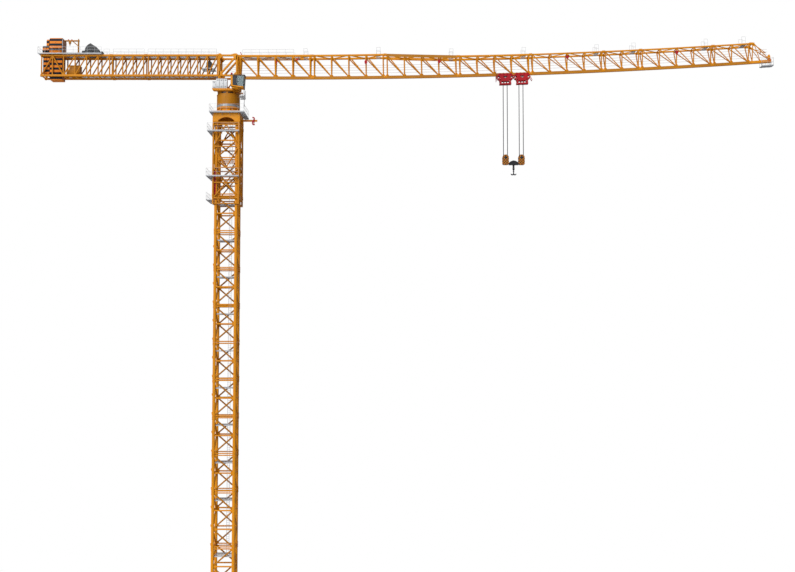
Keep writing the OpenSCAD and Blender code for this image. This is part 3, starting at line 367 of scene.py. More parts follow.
def plate(outline, start, end, holes=(), up=upwards):
    # a flat sheet with holes: its outline and the holes' outlines filled with triangles on both faces
    loops = [np.asarray(loop, float) for loop in (outline, *holes)]
    a, b, along, side, lift = frames(start, end, up)
    flat = np.concatenate(loops)
    ring = flat[:, :1] * side[0] + flat[:, 1:] * lift[0]
    fill = np.array(tessellate_polygon([[(u, v, 0.0) for u, v in loop] for loop in loops]))
    corner = flat[fill]
    turn = np.cross(corner[:, 1] - corner[:, 0], corner[:, 2] - corner[:, 0])
    fill[turn < 0] = fill[turn < 0][:, ::-1]
    walls, first = [], 0
    for number, loop in enumerate(loops):
        after = np.roll(loop, -1, 0)
        area = (loop[:, 0] * after[:, 1] - after[:, 0] * loop[:, 1]).sum()
        j = first + np.arange(len(loop))
        n = np.roll(j, -1)
        quad = np.stack([j, n, n + len(flat), j + len(flat)], 1)
        walls.append(quad if (area > 0) == (number == 0) else quad[:, ::-1])
        first += len(loop)
    return np.concatenate([a[0] + ring, b[0] + ring]), [np.concatenate(walls), fill[:, ::-1],
                                                        fill + len(flat)]


def turned(profile, bases, axis=upwards, sides=24, closed=False):
    # a profile (radius, height) turned round an axis through each base: a vase, or a ring when it is closed
    bases = np.atleast_2d(np.asarray(bases, float))
    a, b, along, side, lift = frames(bases, bases + np.asarray(axis, float), upwards)
    profile = np.asarray(profile, float)
    angle = 2 * math.pi * np.arange(sides) / sides
    spoke = np.cos(angle)[:, None] * side[:, None] + np.sin(angle)[:, None] * lift[:, None]
    points = (a[:, None, None] + profile[None, :, None, :1] * spoke[:, None]
              + profile[None, :, None, 1:] * along[:, None, None])
    faces = tubeFaces(len(profile), sides, closed)
    return points.reshape(-1, 3), copiedFaces(faces, len(bases), len(profile) * sides)


def bolts(places, axis, radius=3.0, height=2.4):
    # hexagon heads on a small round washer
    washer = height * 0.3
    return turned([(radius * 1.35, 0), (radius * 1.35, washer), (radius, washer), (radius, height),
                   (radius * 0.8, height * 1.15)], places, axis, 6)


def carried(outline, points):
    # an outline carried along a line of points, its rings turned to the mean direction at each point
    p = np.asarray(points, float)
    ahead = unit(np.diff(p, axis=0))
    along = unit(np.concatenate([ahead[:1], ahead]) + np.concatenate([ahead, ahead[-1:]]))
    side = unit(np.cross(upwards if abs(along[:, 2]).max() < 0.95 else sideways, along))
    lift = np.cross(along, side)
    ring = np.asarray(outline, float)
    rows = p[:, None] + ring[None, :, :1] * side[:, None] + ring[None, :, 1:] * lift[:, None]
    return rows.reshape(-1, 3), tubeFaces(len(p), len(ring))


def turnAbout(points, degrees):
    # points turned about the mast's axis
    c, s = math.cos(math.radians(degrees)), math.sin(math.radians(degrees))
    return np.stack([points[:, 0] * c - points[:, 1] * s, points[:, 0] * s + points[:, 1] * c,
                     points[:, 2]], 1)


def turnedParts(parts, turns=(0, 90, 180, 270)):
    # the parts once for each turn about the vertical axis
    return [(turnAbout(points, turn), faces) for turn in turns for points, faces in parts]


def flips(outline, right, lift):
    # an outline mirrored by pairs of signs, its points put back in counter-clockwise order
    right, lift = np.broadcast_arrays(np.atleast_1d(right), np.atleast_1d(lift))
    made = np.asarray(outline, float) * np.stack([right, lift], -1)[:, None]
    turn = right * lift < 0
    made[turn] = made[turn][:, ::-1]
    return made


def spaced(first, last, count):
    # count + 1 points at even steps from the first to the last
    share = np.linspace(0.0, 1.0, count + 1)[:, None]
    return np.asarray(first, float) * (1 - share) + np.asarray(last, float) * share


def across(places, half):
    # starts and ends of members that run from -half to half across the crane, at each (x, z)
    x, z = np.transpose(places)
    return (np.stack([x, 0 * x + y, z], 1) for y in (-half, half))


def posts(places, low, high):
    # starts and ends of members that stand from low to high, at each (x, y)
    return (np.column_stack([places, np.full(len(places), z)]) for z in (low, high))


def corners(half):
    # the four corners of a square at plus and minus half
    return [(x, y) for x in (-half, half) for y in (-half, half)]


railLook = {"radius": 1.7, "knee": 0.52, "sides": 6, "toeThick": 1.2}


def railing(points, height, radius=railLook["radius"], toe=0.0):
    # posts on each point with a small foot, a top and a knee rail, and a toe board where one is asked for
    p = np.asarray(points, float)
    lift = np.array((0.0, 0.0, height))
    parts = [rods(p, p + lift, radius, railLook["sides"])]
    for share in (railLook["knee"], 1.0):
        parts.append(rods(p[:-1] + lift * share, p[1:] + lift * share, radius, railLook["sides"]))
    parts.append(turned([(radius * 2.4, 0), (radius * 2.4, 2.5), (radius * 1.5, 5)], p, upwards,
                        railLook["sides"]))
    if toe:
        middle = (0, 0, toe / 2 + 1)
        parts.append(prisms(rectangle(railLook["toeThick"], toe), p[:-1] + middle, p[1:] + middle))
    return parts


gratingLook = {"slat": 1.4, "slatShare": 0.8, "rod": 1.6, "rodSteps": 3.2}


def grating(low, high, pitch=11.0, edge=3.0, alongX=False):
    # an open floor: thin upright slats at even steps, cross rods between them and a rim round them
    order = [0, 1, 2] if alongX else [1, 0, 2]
    (a0, b0, z0), (a1, b1, z1) = (np.asarray(corner, float)[order] for corner in (low, high))
    middle, deep, rod = (z0 + z1) / 2, z1 - z0, gratingLook["rod"]
    count = max(2, int(round((b1 - b0) / pitch)))
    cross = max(1, int(round((a1 - a0) / (pitch * gratingLook["rodSteps"]))))
    b = np.linspace(b0 + edge, b1 - edge, count)
    a = np.linspace(a0, a1, cross + 2)[1:-1]
    slatEnds = (np.stack([0 * b + end, b, 0 * b + middle], 1)[:, order] for end in (a0, a1))
    rodEnds = (np.stack([a, 0 * a + end, 0 * a + z1 - rod], 1)[:, order] for end in (b0, b1))
    inner = edge / 2
    (x0, y0, z0), (x1, y1, z1) = low, high
    rim = line((x0 + inner, y0 + inner, middle), (x1 - inner, y0 + inner, middle),
               (x1 - inner, y1 - inner, middle), (x0 + inner, y1 - inner, middle))
    return [prisms(rectangle(gratingLook["slat"], deep * gratingLook["slatShare"]), *slatEnds),
            prisms(rectangle(rod, rod), *rodEnds), prisms(rectangle(edge, deep), rim, np.roll(rim, -1, 0))]


def ladder(foot, head, width, pitch=30.0, axis=sideways, radius=2.0):
    # two stiles with round rungs between them
    foot, head, reach = np.asarray(foot, float), np.asarray(head, float), np.asarray(axis, float) * width / 2
    stiles = np.stack([foot - reach, foot + reach])
    rungs = spaced(foot, head, int(np.linalg.norm(head - foot) / pitch))[1:-1]
    return [rods(stiles, stiles + (head - foot), radius, 8),
            rods(rungs - reach, rungs + reach, radius * 0.7, 6)]


def addPiece(name, body, finishes, replaced=()):
    # one mesh out of many parts: the points stacked, the faces' numbers shifted by what lies before them
    # a piece without a body is left without a parent
    mesh = bpy.data.meshes.new(name)
    points, numbers, sizes, kinds, before = [], [], [], [], 0
    for kind, parts in enumerate(finishes.values()):
        for partPoints, faceSets in parts:
            points.append(partPoints)
            for faces in faceSets:
                numbers.append((faces + before).ravel())
                sizes.append(np.full(len(faces), faces.shape[1]))
                kinds.append(np.full(len(faces), kind))
            before += len(partPoints)
    points = np.concatenate(points) * 0.001
    numbers, sizes, kinds = np.concatenate(numbers), np.concatenate(sizes), np.concatenate(kinds)
    mesh.vertices.add(len(points))
    mesh.vertices.foreach_set("co", points.ravel())
    mesh.loops.add(len(numbers))
    mesh.loops.foreach_set("vertex_index", numbers.astype(np.int32))
    mesh.polygons.add(len(sizes))
    mesh.polygons.foreach_set("loop_start", np.concatenate([[0], np.cumsum(sizes)[:-1]]).astype(np.int32))
    for material in finishes:
        mesh.materials.append(material)
    mesh.polygons.foreach_set("material_index", kinds.astype(np.int32))
    mesh.polygons.foreach_set("use_smooth", np.ones(len(sizes), bool))
    mesh.update(calc_edges=True)
    mesh.set_sharp_from_angle(angle=math.radians(46))
    piece = bpy.data.objects.new(name, mesh)
    bpy.context.scene.collection.objects.link(piece)
    if body:
        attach(piece, body)
    if replaced:
        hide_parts(*replaced)
    return piece


# the crane's main sizes, as the CAD has them, in millimetres
crane = {"postCentre": 158.0, "baseZ": 48.0, "lowerZ": 888.0, "upperZ": 1729.0, "sectionHeight": 568.5,
         "sections": 10, "mastTop": 7414.0, "ringZ": 7654.0, "deckTop": 7937.5, "lowChord": 8160.5,
         "topChord": 8477.5, "chordHalf": 108.0, "jibCurve": 109300.0, "jibLowX": 885.0, "jibLowZ": 8150.0}

mast = {"post": 42.0, "sleeve": 46.0, "endTie": 22.0, "tie": 21.0, "brace": 24.0, "braceInset": 22.0,
        "plate": 3.0, "gusset": [(-4, -9), (32, -9), (32, 3), (12, 31), (-4, 31)],
        "lug": [(0, 26), (-15, 16), (-15, 4), (-10, -18), (0, -24)], "lugX": -176.0}


def towerSide(low, height, bays, first):
    # one side of a mast section in its own plane: ties, gussets and bolts, and the zigzag braces apart
    c, end, tie = crane["postCentre"], mast["endTie"] / 2, mast["tie"]
    order, bay = np.arange(bays), height / bays
    parts = []
    for levels, wide, high in (((low + end + 4, low + height - end - 4), mast["endTie"] - 4,
                                mast["endTie"] - 5), (low + bay * order[1:], tie - 2, tie)):
        parts.append(bars([(-c, -c, z) for z in levels], [(c, -c, z) for z in levels], wide, high, 3))
    side = np.where((order + first) % 2 == 0, -1.0, 1.0)
    under = low + bay * order + np.where(order == 0, 2 * end, tie / 2)
    over = low + bay * (order + 1) - np.where(order == bays - 1, 2 * end, tie / 2)
    flat = np.full(bays, -c)
    reach, corner = side * (c - mast["braceInset"]), side * (c - mast["post"] / 2)
    braces = [rods(np.stack([reach, flat, under + 8], 1), np.stack([-reach, flat, over - 8], 1),
                   mast["brace"] / 2, 12)]
    outlines = np.concatenate([flips(mast["gusset"], -side, 1), flips(mast["gusset"], side, -1)])
    for push in (-5.5, 5.5):
        places = np.concatenate([np.stack([corner, flat + push, under - 4], 1),
                                 np.stack([-corner, flat + push, over + 4], 1)])
        parts.append(sheets(outlines, places, mast["plate"]))
    heads = [(s * c + k * 10, -c - mast["sleeve"] / 2, low + z) for s in (-1, 1) for k in (-1, 1)
             for z in (14, 34, height - 14, height - 34)]
    parts.append(bolts(heads, (0, -1, 0), 3.6, 3.4))
    return parts, braces


def towerSection(low, height, bays, first):
    # four posts with sleeves at both ends, and four sides whose zigzags start in turn left and right
    c, sleeve = crane["postCentre"], mast["sleeve"]
    parts = [bars(*posts(corners(c), low + 0.4, low + height - 0.4), mast["post"], mast["post"], 4)]
    for z in (low + 0.8, low + height - sleeve):
        parts.append(bars(*posts(corners(c), z, z + sleeve - 0.8), sleeve, sleeve, 3))
    braces = []
    for shift, turns in ((0, (0, 180)), (1, (90, 270))):
        side, zigzag = towerSide(low, height, bays, first + shift)
        parts += turnedParts(side, turns)
        braces += turnedParts(zigzag, turns)
    return parts, braces


def towerLugs(low, height, count):
    # steps on the left posts that carry the climbing frame: pairs of beak-shaped plates with a bar between
    levels = [low + (k + 0.19) * height / count for k in range(count)]
    parts = []
    for y in (-crane["postCentre"], crane["postCentre"]):
        for push in (-6, 6):
            parts.append(sheets(mast["lug"], [(mast["lugX"], y + push, z) for z in levels], 3.4))
        parts.append(rods([(mast["lugX"] - 9, y - 8, z + 8) for z in levels],
                          [(mast["lugX"] - 9, y + 8, z + 8) for z in levels], 4.5, 10))
    return parts


# each section: names, foot, height, bays, the side its zigzag starts on, and its lugs
sections = [("mastBaseSection", "mast_base_section", crane["baseZ"], 840.0, 3, 0, 0),
            ("mastLowerSection", "mast_lower_section", crane["lowerZ"], 841.0, 3, 1, 3)]
for k in range(crane["sections"]):
    sections.append(("mastSection%d" % (k + 1), "mast_section_%d" % (k + 1),
                     crane["upperZ"] + k * crane["sectionHeight"], crane["sectionHeight"], 2, 0,
                     2 if k < 7 else 0))
# the zigzag braces take the darker copy of the orange: painted shade inside the mast
for name, node, low, height, bays, first, lugs in sections:
    made, braces = towerSection(low, height, bays, first)
    if lugs:
        made += towerLugs(low, height, lugs)
    addPiece(name, "mast", {orangePaint: made, paintedShadeOrange: braces}, [node])
print("mast made")

footing = {"anchorPitch": 84.0, "plateTop": 12.0, "ribStart": 18.0, "ribThick": 4.0,
           "rib": [(0, 0), (30, 0), (30, 5), (4, 34), (0, 34)],
           "nut": [(11, 0), (11, 2.5), (8.6, 2.5), (8.6, 9), (7.6, 10.2)],
           "stud": [(4.2, 10), (4.2, 22), (3.2, 23)]}
feet, top = corners(crane["postCentre"]), footing["plateTop"]
anchors = [(x + u, y + v, top) for x, y in feet for u, v in corners(footing["anchorPitch"] / 2)]
ribs = []
for x, y in feet:
    for s in (-footing["ribStart"], footing["ribStart"]):
        rib = flips(footing["rib"], np.sign(s), 1)
        ribs.append(sheets(rib, (x + s, y, top), footing["ribThick"]))
        ribs.append(sheets(rib, (x, y + s, top), footing["ribThick"], forwards))
nuts = [turned(footing["nut"], anchors, upwards, 6), turned(footing["stud"], anchors, upwards, 12)]
addPiece("foundationFittings", "mast", {zincSteel: nuts, orangePaint: ribs}, ())


def floorRound(low, high, hole, heights, pitch, alongX=False):
    # an open floor with a rectangular hole, as four gratings round it
    (x0, y0), (x1, y1), (u0, v0), (u1, v1) = low, high, *hole
    parts = []
    for a, b in (((x0, y0), (u0, y1)), ((u1, y0), (x1, y1)), ((u0, y0), (u1, v0)), ((u0, v1), (u1, y1))):
        parts += grating((*a, heights[0]), (*b, heights[1]), pitch, 3.0, alongX)
    return parts


access = {"inner": 139.0, "drop": 130.0, "deep": 8.0, "hatch": [(12, -50), (80, 30)], "ladder": (46.0, 27.0)}
inner = access["inner"]
levels = [crane["lowerZ"]] + [crane["upperZ"] + crane["sectionHeight"] * k
                              for k in range(crane["sections"] - 1)]
levels = [z - access["drop"] for z in levels]
floor = []
for z in levels:
    floor += floorRound((-inner, -inner), (inner, inner), access["hatch"], (z, z + access["deep"]), 12.0)
    floor += [bars((-inner, y, z - 5), (inner, y, z - 5), 14, 10, 2) for y in (-inner, inner)]
floor += ladder((*access["ladder"], levels[0]), (*access["ladder"], crane["mastTop"]), 40, 30, forwards, 2.6)
# the floors in the lighter steel: painted light on their undersides, which lie in shade
addPiece("mastAccess", "mast", {paleSteel: floor}, ["mast_access"])
print("mast access made")

climb = {"post": 26.0, "sleeve": 31.0, "sleeveHeight": 52.0, "centre": 197.0, "low": 6134.0, "brace": 19.0,
         "tie": 18.0, "levels": [7405.0, 7370.5, 7027.4, 6701.0, 6466.8, 6224.9, 6143.0],
         "cornerGusset": [(-4, -8), (26, -8), (26, 3), (10, 26), (-4, 26)],
         "middleGusset": [(-26, -8), (26, -8), (26, 2), (10, 24), (-10, 24), (-26, 2)],
         "crossGusset": [(-14, -18), (14, -18), (20, 0), (14, 18), (-14, 18), (-20, 0)], "gussetThick": 2.6,
         "roller": [(0, 0), (7, 0), (9, 2), (9, 14), (7, 16), (0, 16)],
         "rollerPlate": [(-10, -26), (10, -26), (10, 12), (-10, 12)],
         "guard": [(-184.5, -184.4, 6206), (-157, -181.4, 6690)]}


def climbSide():
    # ties at each level, an inverted V, a V and a tall X of braces, gussets where they meet, guide rollers
    c, z, thick = climb["centre"], climb["levels"], climb["gussetThick"]
    parts = [bars([(-c, -c, level) for level in z], [(c, -c, level) for level in z], climb["tie"] - 2,
                  climb["tie"], 3)]
    for s in (-1, 1):
        end = s * (c - 8)
        parts.append(rods([(end, -c, z[2] + 10), (end, -c, z[2] - 10), (end, -c, z[3] - 10)],
                          [(s * 8, -c, z[1] - 8), (s * 8, -c, z[3] + 8), (-end, -c, z[5] + 10)],
                          climb["brace"] / 2, 12))
    for y in (-c - 5, -c + 5):
        for level, lift in ((2, 1), (2, -1), (3, -1), (5, 1)):
            places = [(s * (c - climb["post"] / 2), y, z[level]) for s in (-1, 1)]
            parts.append(sheets(flips(climb["cornerGusset"], [1, -1], lift), places, thick))
        for level, lift in ((1, -1), (3, 1)):
            parts.append(sheets(flips(climb["middleGusset"], 1, lift), (0, y, z[level]), thick))
        parts.append(sheets(climb["crossGusset"], (0, y, (z[3] + z[5]) / 2), thick))
    # guide rollers that run on the mast's posts
    for level in (z[2], z[5]):
        for x in (-crane["postCentre"], crane["postCentre"]):
            parts.append(turned(climb["roller"], (x - 8, -188.5, level + 15), forwards, 16))
            parts.append(sheets(climb["rollerPlate"], [(x + k, -188, level + 12) for k in (-16, 16)], 2.4,
                                forwards))
    heads = [(s * c + k * 6, -c - 14, level + j * 16) for s in (-1, 1) for k in (-1, 1)
             for level in (z[1] - 17, z[5] + 40) for j in (-1, 0, 1)]
    parts.append(bolts(heads, (0, -1, 0), 2.8, 3))
    return parts


c, sleeve, tall = climb["centre"], climb["sleeve"], climb["sleeveHeight"]
frameParts = [bars(*posts(corners(c), climb["low"], crane["mastTop"]), climb["post"], climb["post"], 3)]
for z in (climb["levels"][1] - 42, climb["levels"][5] + 15):
    frameParts.append(bars(*posts(corners(c), z, z + tall), sleeve, sleeve, 2))
frameParts += turnedParts(climbSide())
# the fork that the cylinder's head is pinned in
frameParts += [blocks((-236, y - 2.5, 6665), (-204, y + 2.5, 6709), 1) for y in (91, 109)]
frameParts.append(blocks((-236, 90, 6700), (-204, 110, 6710), 1))
# the cylinder's guard: a narrow red plate along the inner edge of the front left post; the frame itself takes
# the slightly darker orange, painted shade
addPiece("climbingFrame", "mast", {paintedHalfShadeOrange: frameParts, redPaint: [blocks(*climb["guard"], 1)]},
         ["climbing_frame"])

walks = {"outer": 210.0, "width": 70.0, "deep": 8.0, "rail": 118.0, "upper": (7264.2, 73.0),
         "middle": (6561.5, 84.0), "lowest": (6200.6, 92.0), "portal": (7560.0, 45.0), "arm": 5.0,
         "strut": 2.4}
outer, outside = walks["outer"], -walks["outer"] - walks["width"]


def walkFloor(low, high, z):
    # a grating whose top lies at z
    return grating((*low, z - walks["deep"]), (*high, z), 10.0, 2.6, True)


def walkBrackets(places, reach, axis):
    # triangular brackets that carry a floor from the frame: an arm and a slanting strut under it
    p, away, drop = line(*places), line(*axis) * reach, line(0, 0, -10)
    return [bars(p + drop, p + away + drop, walks["arm"], walks["arm"] + 1, 1),
            rods(p + drop * 5.2, p + away * 0.86 + drop * 1.4, walks["strut"], 8)]


def frontWalk(z, left, right):
    # the floor in front of the frame, its brackets, and its railing between two ends
    floor = walkFloor((-outer, outside), (outer, -outer), z)
    floor += walkBrackets([(x, -outer, z) for x in (-197, -60, 60, 197)], walks["width"] - 4, (0, -1, 0))
    return floor, railing(spaced((left, outside + 2, z), (right, outside + 2, z), 6), walks["rail"], 1.1,
                          toe=8)


def sideWalk(z, s, out, reach, start, stop, spots):
    # a floor on the frame's left (s = -1) or right (s = 1), its brackets at the spots, and its railing
    near, far = s * outer, s * (outer + out)
    floor = walkFloor((min(near, far), start), (max(near, far), stop), z)
    floor += walkBrackets([(near, y, z) for y in spots], reach, (s, 0, 0))
    x = far - 2 * s
    return floor, railing(spaced((x, start + 2, z), (x, stop - 2, z), 5), walks["rail"], toe=11)


walkParts = []
for z, out in (walks["upper"], walks["middle"]):
    walkParts += [frontWalk(z, 2 - outer - out, outer - 2),
                  sideWalk(z, -1, out, out - 4, outside, outer, (-190, -60, 60, 190))]
z, out = walks["lowest"]
walkParts.append(sideWalk(z, -1, out, out - 4, -outer, outer, (-190, 0, 190)))
z, out = walks["portal"]
walkParts += [frontWalk(z, 2 - outer - out, outer + walks["width"] - 2),
              sideWalk(z, -1, out, out - 5, outside, 110, (-190, -60, 60)),
              sideWalk(z, 1, walks["width"], walks["width"] - 4, outside, 310, (-190, -60, 60, 200))]
addPiece("climbingWalkways", "mast", {zincSteel: [part for floor, rail in walkParts for part in floor],
                                      paleSteel: [part for floor, rail in walkParts for part in rail]},
         ["climbing_walkways"])

cylinder = {"x": -228.0, "y": 100.0, "low": 6214.6, "high": 6665.0, "rod": 146.0, "barrel": 15.0, "hose": 2.2}
x, y, low, high = (cylinder[key] for key in ("x", "y", "low", "high"))
r, rod = cylinder["barrel"], cylinder["rod"]
barrel = [(0, 0), (13, 0), (r + 1, 3), (r + 1, 14), (r, 16), (r, 130), (r + 1, 132), (r + 1, 142), (r, 144),
          (r, 290), (r + 1, 292), (r + 1, 302), (13, 304), (0, 304)]
hosePath = [(x - 19 - 4 * math.sin(t * 3.1), y + 2, low + 170 + 250 * t) for t in np.linspace(0, 1, 24)]
addPiece("climbingCylinder", "mast",
         {redPaint: [turned(barrel, (x, y, low + rod), upwards, 28),
                     blocks((x - 16, y - 20, low - 14), (-176, 144, low), 2),
                     blocks((x - 9, y - 11, low), (x + 9, y + 11, low + 12), 2)],
          wornSteel: [turned([(0, 0), (8, 0), (8, rod), (0, rod)], (x, y, low), upwards, 20),
                      rods((x, y - 16, high - 6), (x, y + 16, high - 6), 5, 14)],
          blackPaint: [carried(circleOutline(cylinder["hose"], 8), hosePath)]}, ["climbing_cylinder"])

mono = {"x": 393.0, "z": 7454.0, "end": 455.0, "hanger": 160.0, "plateY": 13.0,
        "beam": [(9, 0), (9, 4), (1.6, 5), (1.6, 23), (9, 24), (9, 28), (-9, 28), (-9, 24), (-1.6, 23),
                 (-1.6, 5), (-9, 4), (-9, 0)],
        "cheek": [(-21, -24), (-18, -42), (-6, -52), (12, -54), (24, -44), (18, -30), (4, -30), (-5, -20),
                  (-4, -14), (19, -14), (19, 14), (9, 14), (20, 30), (24, 46), (20, 64), (6, 74), (-14, 74),
                  (-18, 64), (-10, 56), (4, 54), (8, 42), (4, 28), (-8, 14), (-19, 14), (-19, -14)],
        "bend": [(-12, 62), (2, 66), (14, 57), (16, 44), (7, 31), (-3, 14), (-12, -4), (-13, -22),
                 (-5, -39), (6, -46), (16, -40)],
        "wheel": [(0, 0), (7, 0), (7, 2), (5, 2.6), (5, 8.6), (4, 9), (0, 9)],
        "pins": [(8, 64), (-10, -34), (12, -42)]}
x, z, hanger = mono["x"], mono["z"], mono["hanger"]
beamParts = [carried(mono["beam"], line((-168, 0, z), (mono["end"], 0, z))),
             blocks((mono["end"] - 4, -9, z + 4), (mono["end"] - 1, 9, z + 24))]
for post in (-hanger, hanger):
    beamParts += [blocks((post - 6, -6, z + 28), (post + 6, 6, 7574)),
                  blocks((post - 14, -12, z + 28), (post + 14, 12, z + 34))]
addPiece("monorailBeam", "mast", {orangePaint: beamParts}, ["monorail_beam"])
hoistParts, heads = [], []
pins = line(*[(x + u, 0, z + v) for u, v in mono["pins"]])
for s in (-1, 1):
    y = s * mono["plateY"]
    hoistParts.append(plate(mono["cheek"], (x, y + 2, z), (x, y - 2, z)))
    hoistParts.append(carried(rectangle(14, 5), [(x + u, y + s * 0.6, z + v) for u, v in mono["bend"]]))
    hoistParts.append(turned(mono["wheel"], [(x + k, s * 12, z + 9.3) for k in (-10, 10)], (0, -s, 0), 18))
    heads.append(bolts(pins + (0, s * 14, 0), (0, s, 0), 3.2, 2.4))
hoistParts.append(rods(pins - (0, 14, 0), pins + (0, 14, 0), 5, 14))
addPiece("monorailHoist", "monorail_trolley", {redPaint: hoistParts, wornSteel: heads}, ["monorail_hoist"])

ring = {"z": crane["ringZ"], "inside": 144.0, "outside": 179.4, "bolts": 48, "boltCircle": 170.0,
        "gap": 0.5, "half": 22.0}
boltCircle = circleOutline(1.0, ring["bolts"])


def boltRing(radius, z, axis, *size):
    # bolts at the radius times the circle's unit points
    return bolts(np.column_stack([boltCircle * radius, np.full(ring["bolts"], z)]), axis, *size)


def race(low, groove):
    # half of the slewing ring in section, with a groove round its rim and its top 22 mm over the ring's foot
    out, top = ring["outside"], ring["half"]
    return [(ring["inside"], low), (out - 0.8, low), (out, low + 1), (out, groove), (out - 2, groove + 1),
            (out - 2, 16), (out, 17), (out, top - 1), (out - 0.8, top), (ring["inside"], top)]


foot = (0, 0, ring["z"])
flange = [(144, 0), (179, 0), (179, 9), (144, 9)]
addPiece("ringLower", "mast", {wornSteel: [turned(race(9, 13), foot, upwards, 96, True)],
                               orangePaint: [turned(flange, foot, upwards, 96, True),
                                             boltRing(ring["boltCircle"], ring["z"] - 19, downwards, 3, 3)]},
         ["slewing_ring_lower"])
foot = (0, 0, ring["z"] + ring["half"] + ring["gap"])
addPiece("ringUpper", "upperworks", {wornSteel: [turned(race(0, 12), foot, upwards, 96, True)]},
         ["slewing_ring_upper"])

# the support's flange bolts, seams, the collar's ring and edge strips round the portal's arches
portal = {"face": -210.0, "archRadius": 175.0, "archDrop": 104.0, "archHalf": 124.0, "seams": (7430, 7556),
          "collar": [(166, 7586), (169, 7586), (169, 7592), (166, 7592)], "low": crane["mastTop"]}
face, low = portal["face"], portal["low"]
arch = arcOutline((0, low - portal["archDrop"]), portal["archRadius"], 46, 134, 26)
arch = arch[np.abs(arch[:, 0]) < portal["archHalf"]]
archLine = [(x, face - 1, z) for x, z in ((arch[0, 0], low), *arch, (arch[-1, 0], low))]
seam = line(*[(x, face - 0.6, z) for x in (-183, 126) for z in portal["seams"]])
heads = [(s * 197 + k * 7, face, low + z) for s in (-1, 1) for k in (-1, 1) for z in (10, 26, 44)]
fittings = turnedParts([carried(rectangle(2.6, 7), archLine),
                        prisms(rectangle(1.2, 1.2), seam, seam + (57, 0, 0)),
                        bolts(heads, (0, -1, 0), 2.8, 3)])
fittings.append(turned(portal["collar"], (0, 0, 0), upwards, 72, True))
addPiece("portalFittings", "mast",
         {orangePaint: fittings, wornSteel: [boltRing(172, 7632, downwards, 2.8, 3)]}, ())
print("climbing frame and support made")


def arcLine(radius, z, first, last):
    # points on a level arc round the mast's axis, from one angle in degrees to another
    return np.column_stack([arcOutline((0, 0), radius, first, last, 30), np.full(30, z)])


# the drum: a shell with flanges and upright seams in the darker orange of painted shade, and four thin black
# strips on its neck, painted shade standing for its openings
drum = {"low": 7698.5, "radius": 178.0, "openings": (-122, -84, 58, 96), "openAngle": 28.0}
low, r = drum["low"], drum["radius"]
shell = [(166, 0), (r - 1, 0), (r + 1.6, 1), (r + 1.6, 9), (r, 10), (r, 156), (r + 2.4, 158),
         (r + 2.4, 166), (r, 168), (168, 168), (168, 206), (170.5, 207), (170.5, 208), (148, 208),
         (148, 156), (166, 156)]
openingShades = [arcLine(168.2, low + 185, start, start + drum["openAngle"]) for start in drum["openings"]]
seamTurns = np.radians(np.array([-160, -128, -96, -64, -32, 0, 45, 90, 135, 170]))
seamAim = np.stack([np.cos(seamTurns), np.sin(seamTurns), 0 * seamTurns], 1)
addPiece("slewingDrum", "upperworks",
         {paintedShadeOrange: [turned(shell, (0, 0, low), upwards, 96, True),
                         prisms(rectangle(3.2, 146), seamAim * (r - 1) + (0, 0, low + 83),
                                seamAim * (r + 1.4) + (0, 0, low + 83)),
                         boltRing(r - 3, low + 10, upwards, 2.2, 2.2)],
          blackPaint: [carried(rectangle(2, 20), slit) for slit in openingShades]}, ["slewing_drum"])

top = crane["deckTop"]
sideOutline = np.concatenate([line((221, 7906.5), (221, top), (-226, top)),
                              arcOutline((-199, 7933.5), 27, 180, 270, 10)])
deckParts = [prisms(sideOutline, (0, -112, 0), (0, -200, 0)),
             blocks([(-160, -113, 7906.5), (168, 32, 7906.5)], [(170, 132, top), (221, 52, 7924)], 2)]
deckParts += [prisms(rectangle(3, 5), (-224, -200.6, top - 15.5), (220, -200.6, top - 15.5))]
studs = [(x, -201, z) for x in np.arange(-190, 215, 34) for z in (top - 24, top - 7)]
rimRails = railing(spaced((-156, 128, top), (0, 128, top), 3), 104, toe=10)
addPiece("slewingDeck", "upperworks", {orangePaint: deckParts + [bolts(studs, (0, -1, 0), 2.2, 2)],
                                       paleSteel: rimRails}, ["slewing_deck"])

landing = {"x": (192.0, 262.0), "y": (-150.0, 61.0), "z": 7820.5}
(x0, x1), (y0, y1), z = landing["x"], landing["y"], landing["z"]
landParts = grating((x0, y0, z), (x1, y1, z + 8), 10, 2.6)
landParts += [bars([(216, t + 5, z + 8) for t in (y0 + 14, y1 - 24)],
                   [(216, t + 5, 7906.5) for t in (y0 + 14, y1 - 24)], 8, 8, 1.5),
              bars([(182, t, z - 5) for t in (-120, 30)], [(258, t, z - 5) for t in (-120, 30)], 6, 9, 1)]
landParts += ladder((x1 - 14, 0, z - 132), (x1 - 14, 0, z + 60), 36, 28, sideways, 2)
landRails = railing(spaced((x1 - 2, y0 + 2, z + 8), (x1 - 2, -22, z + 8), 2), 118, toe=10)
landRails += railing(spaced((x1 - 2, 22, z + 8), (x1 - 2, y1 - 2, z + 8), 1), 118, toe=10)
addPiece("drumLanding", "upperworks", {zincSteel: landParts, paleSteel: landRails}, ["drum_landing"])

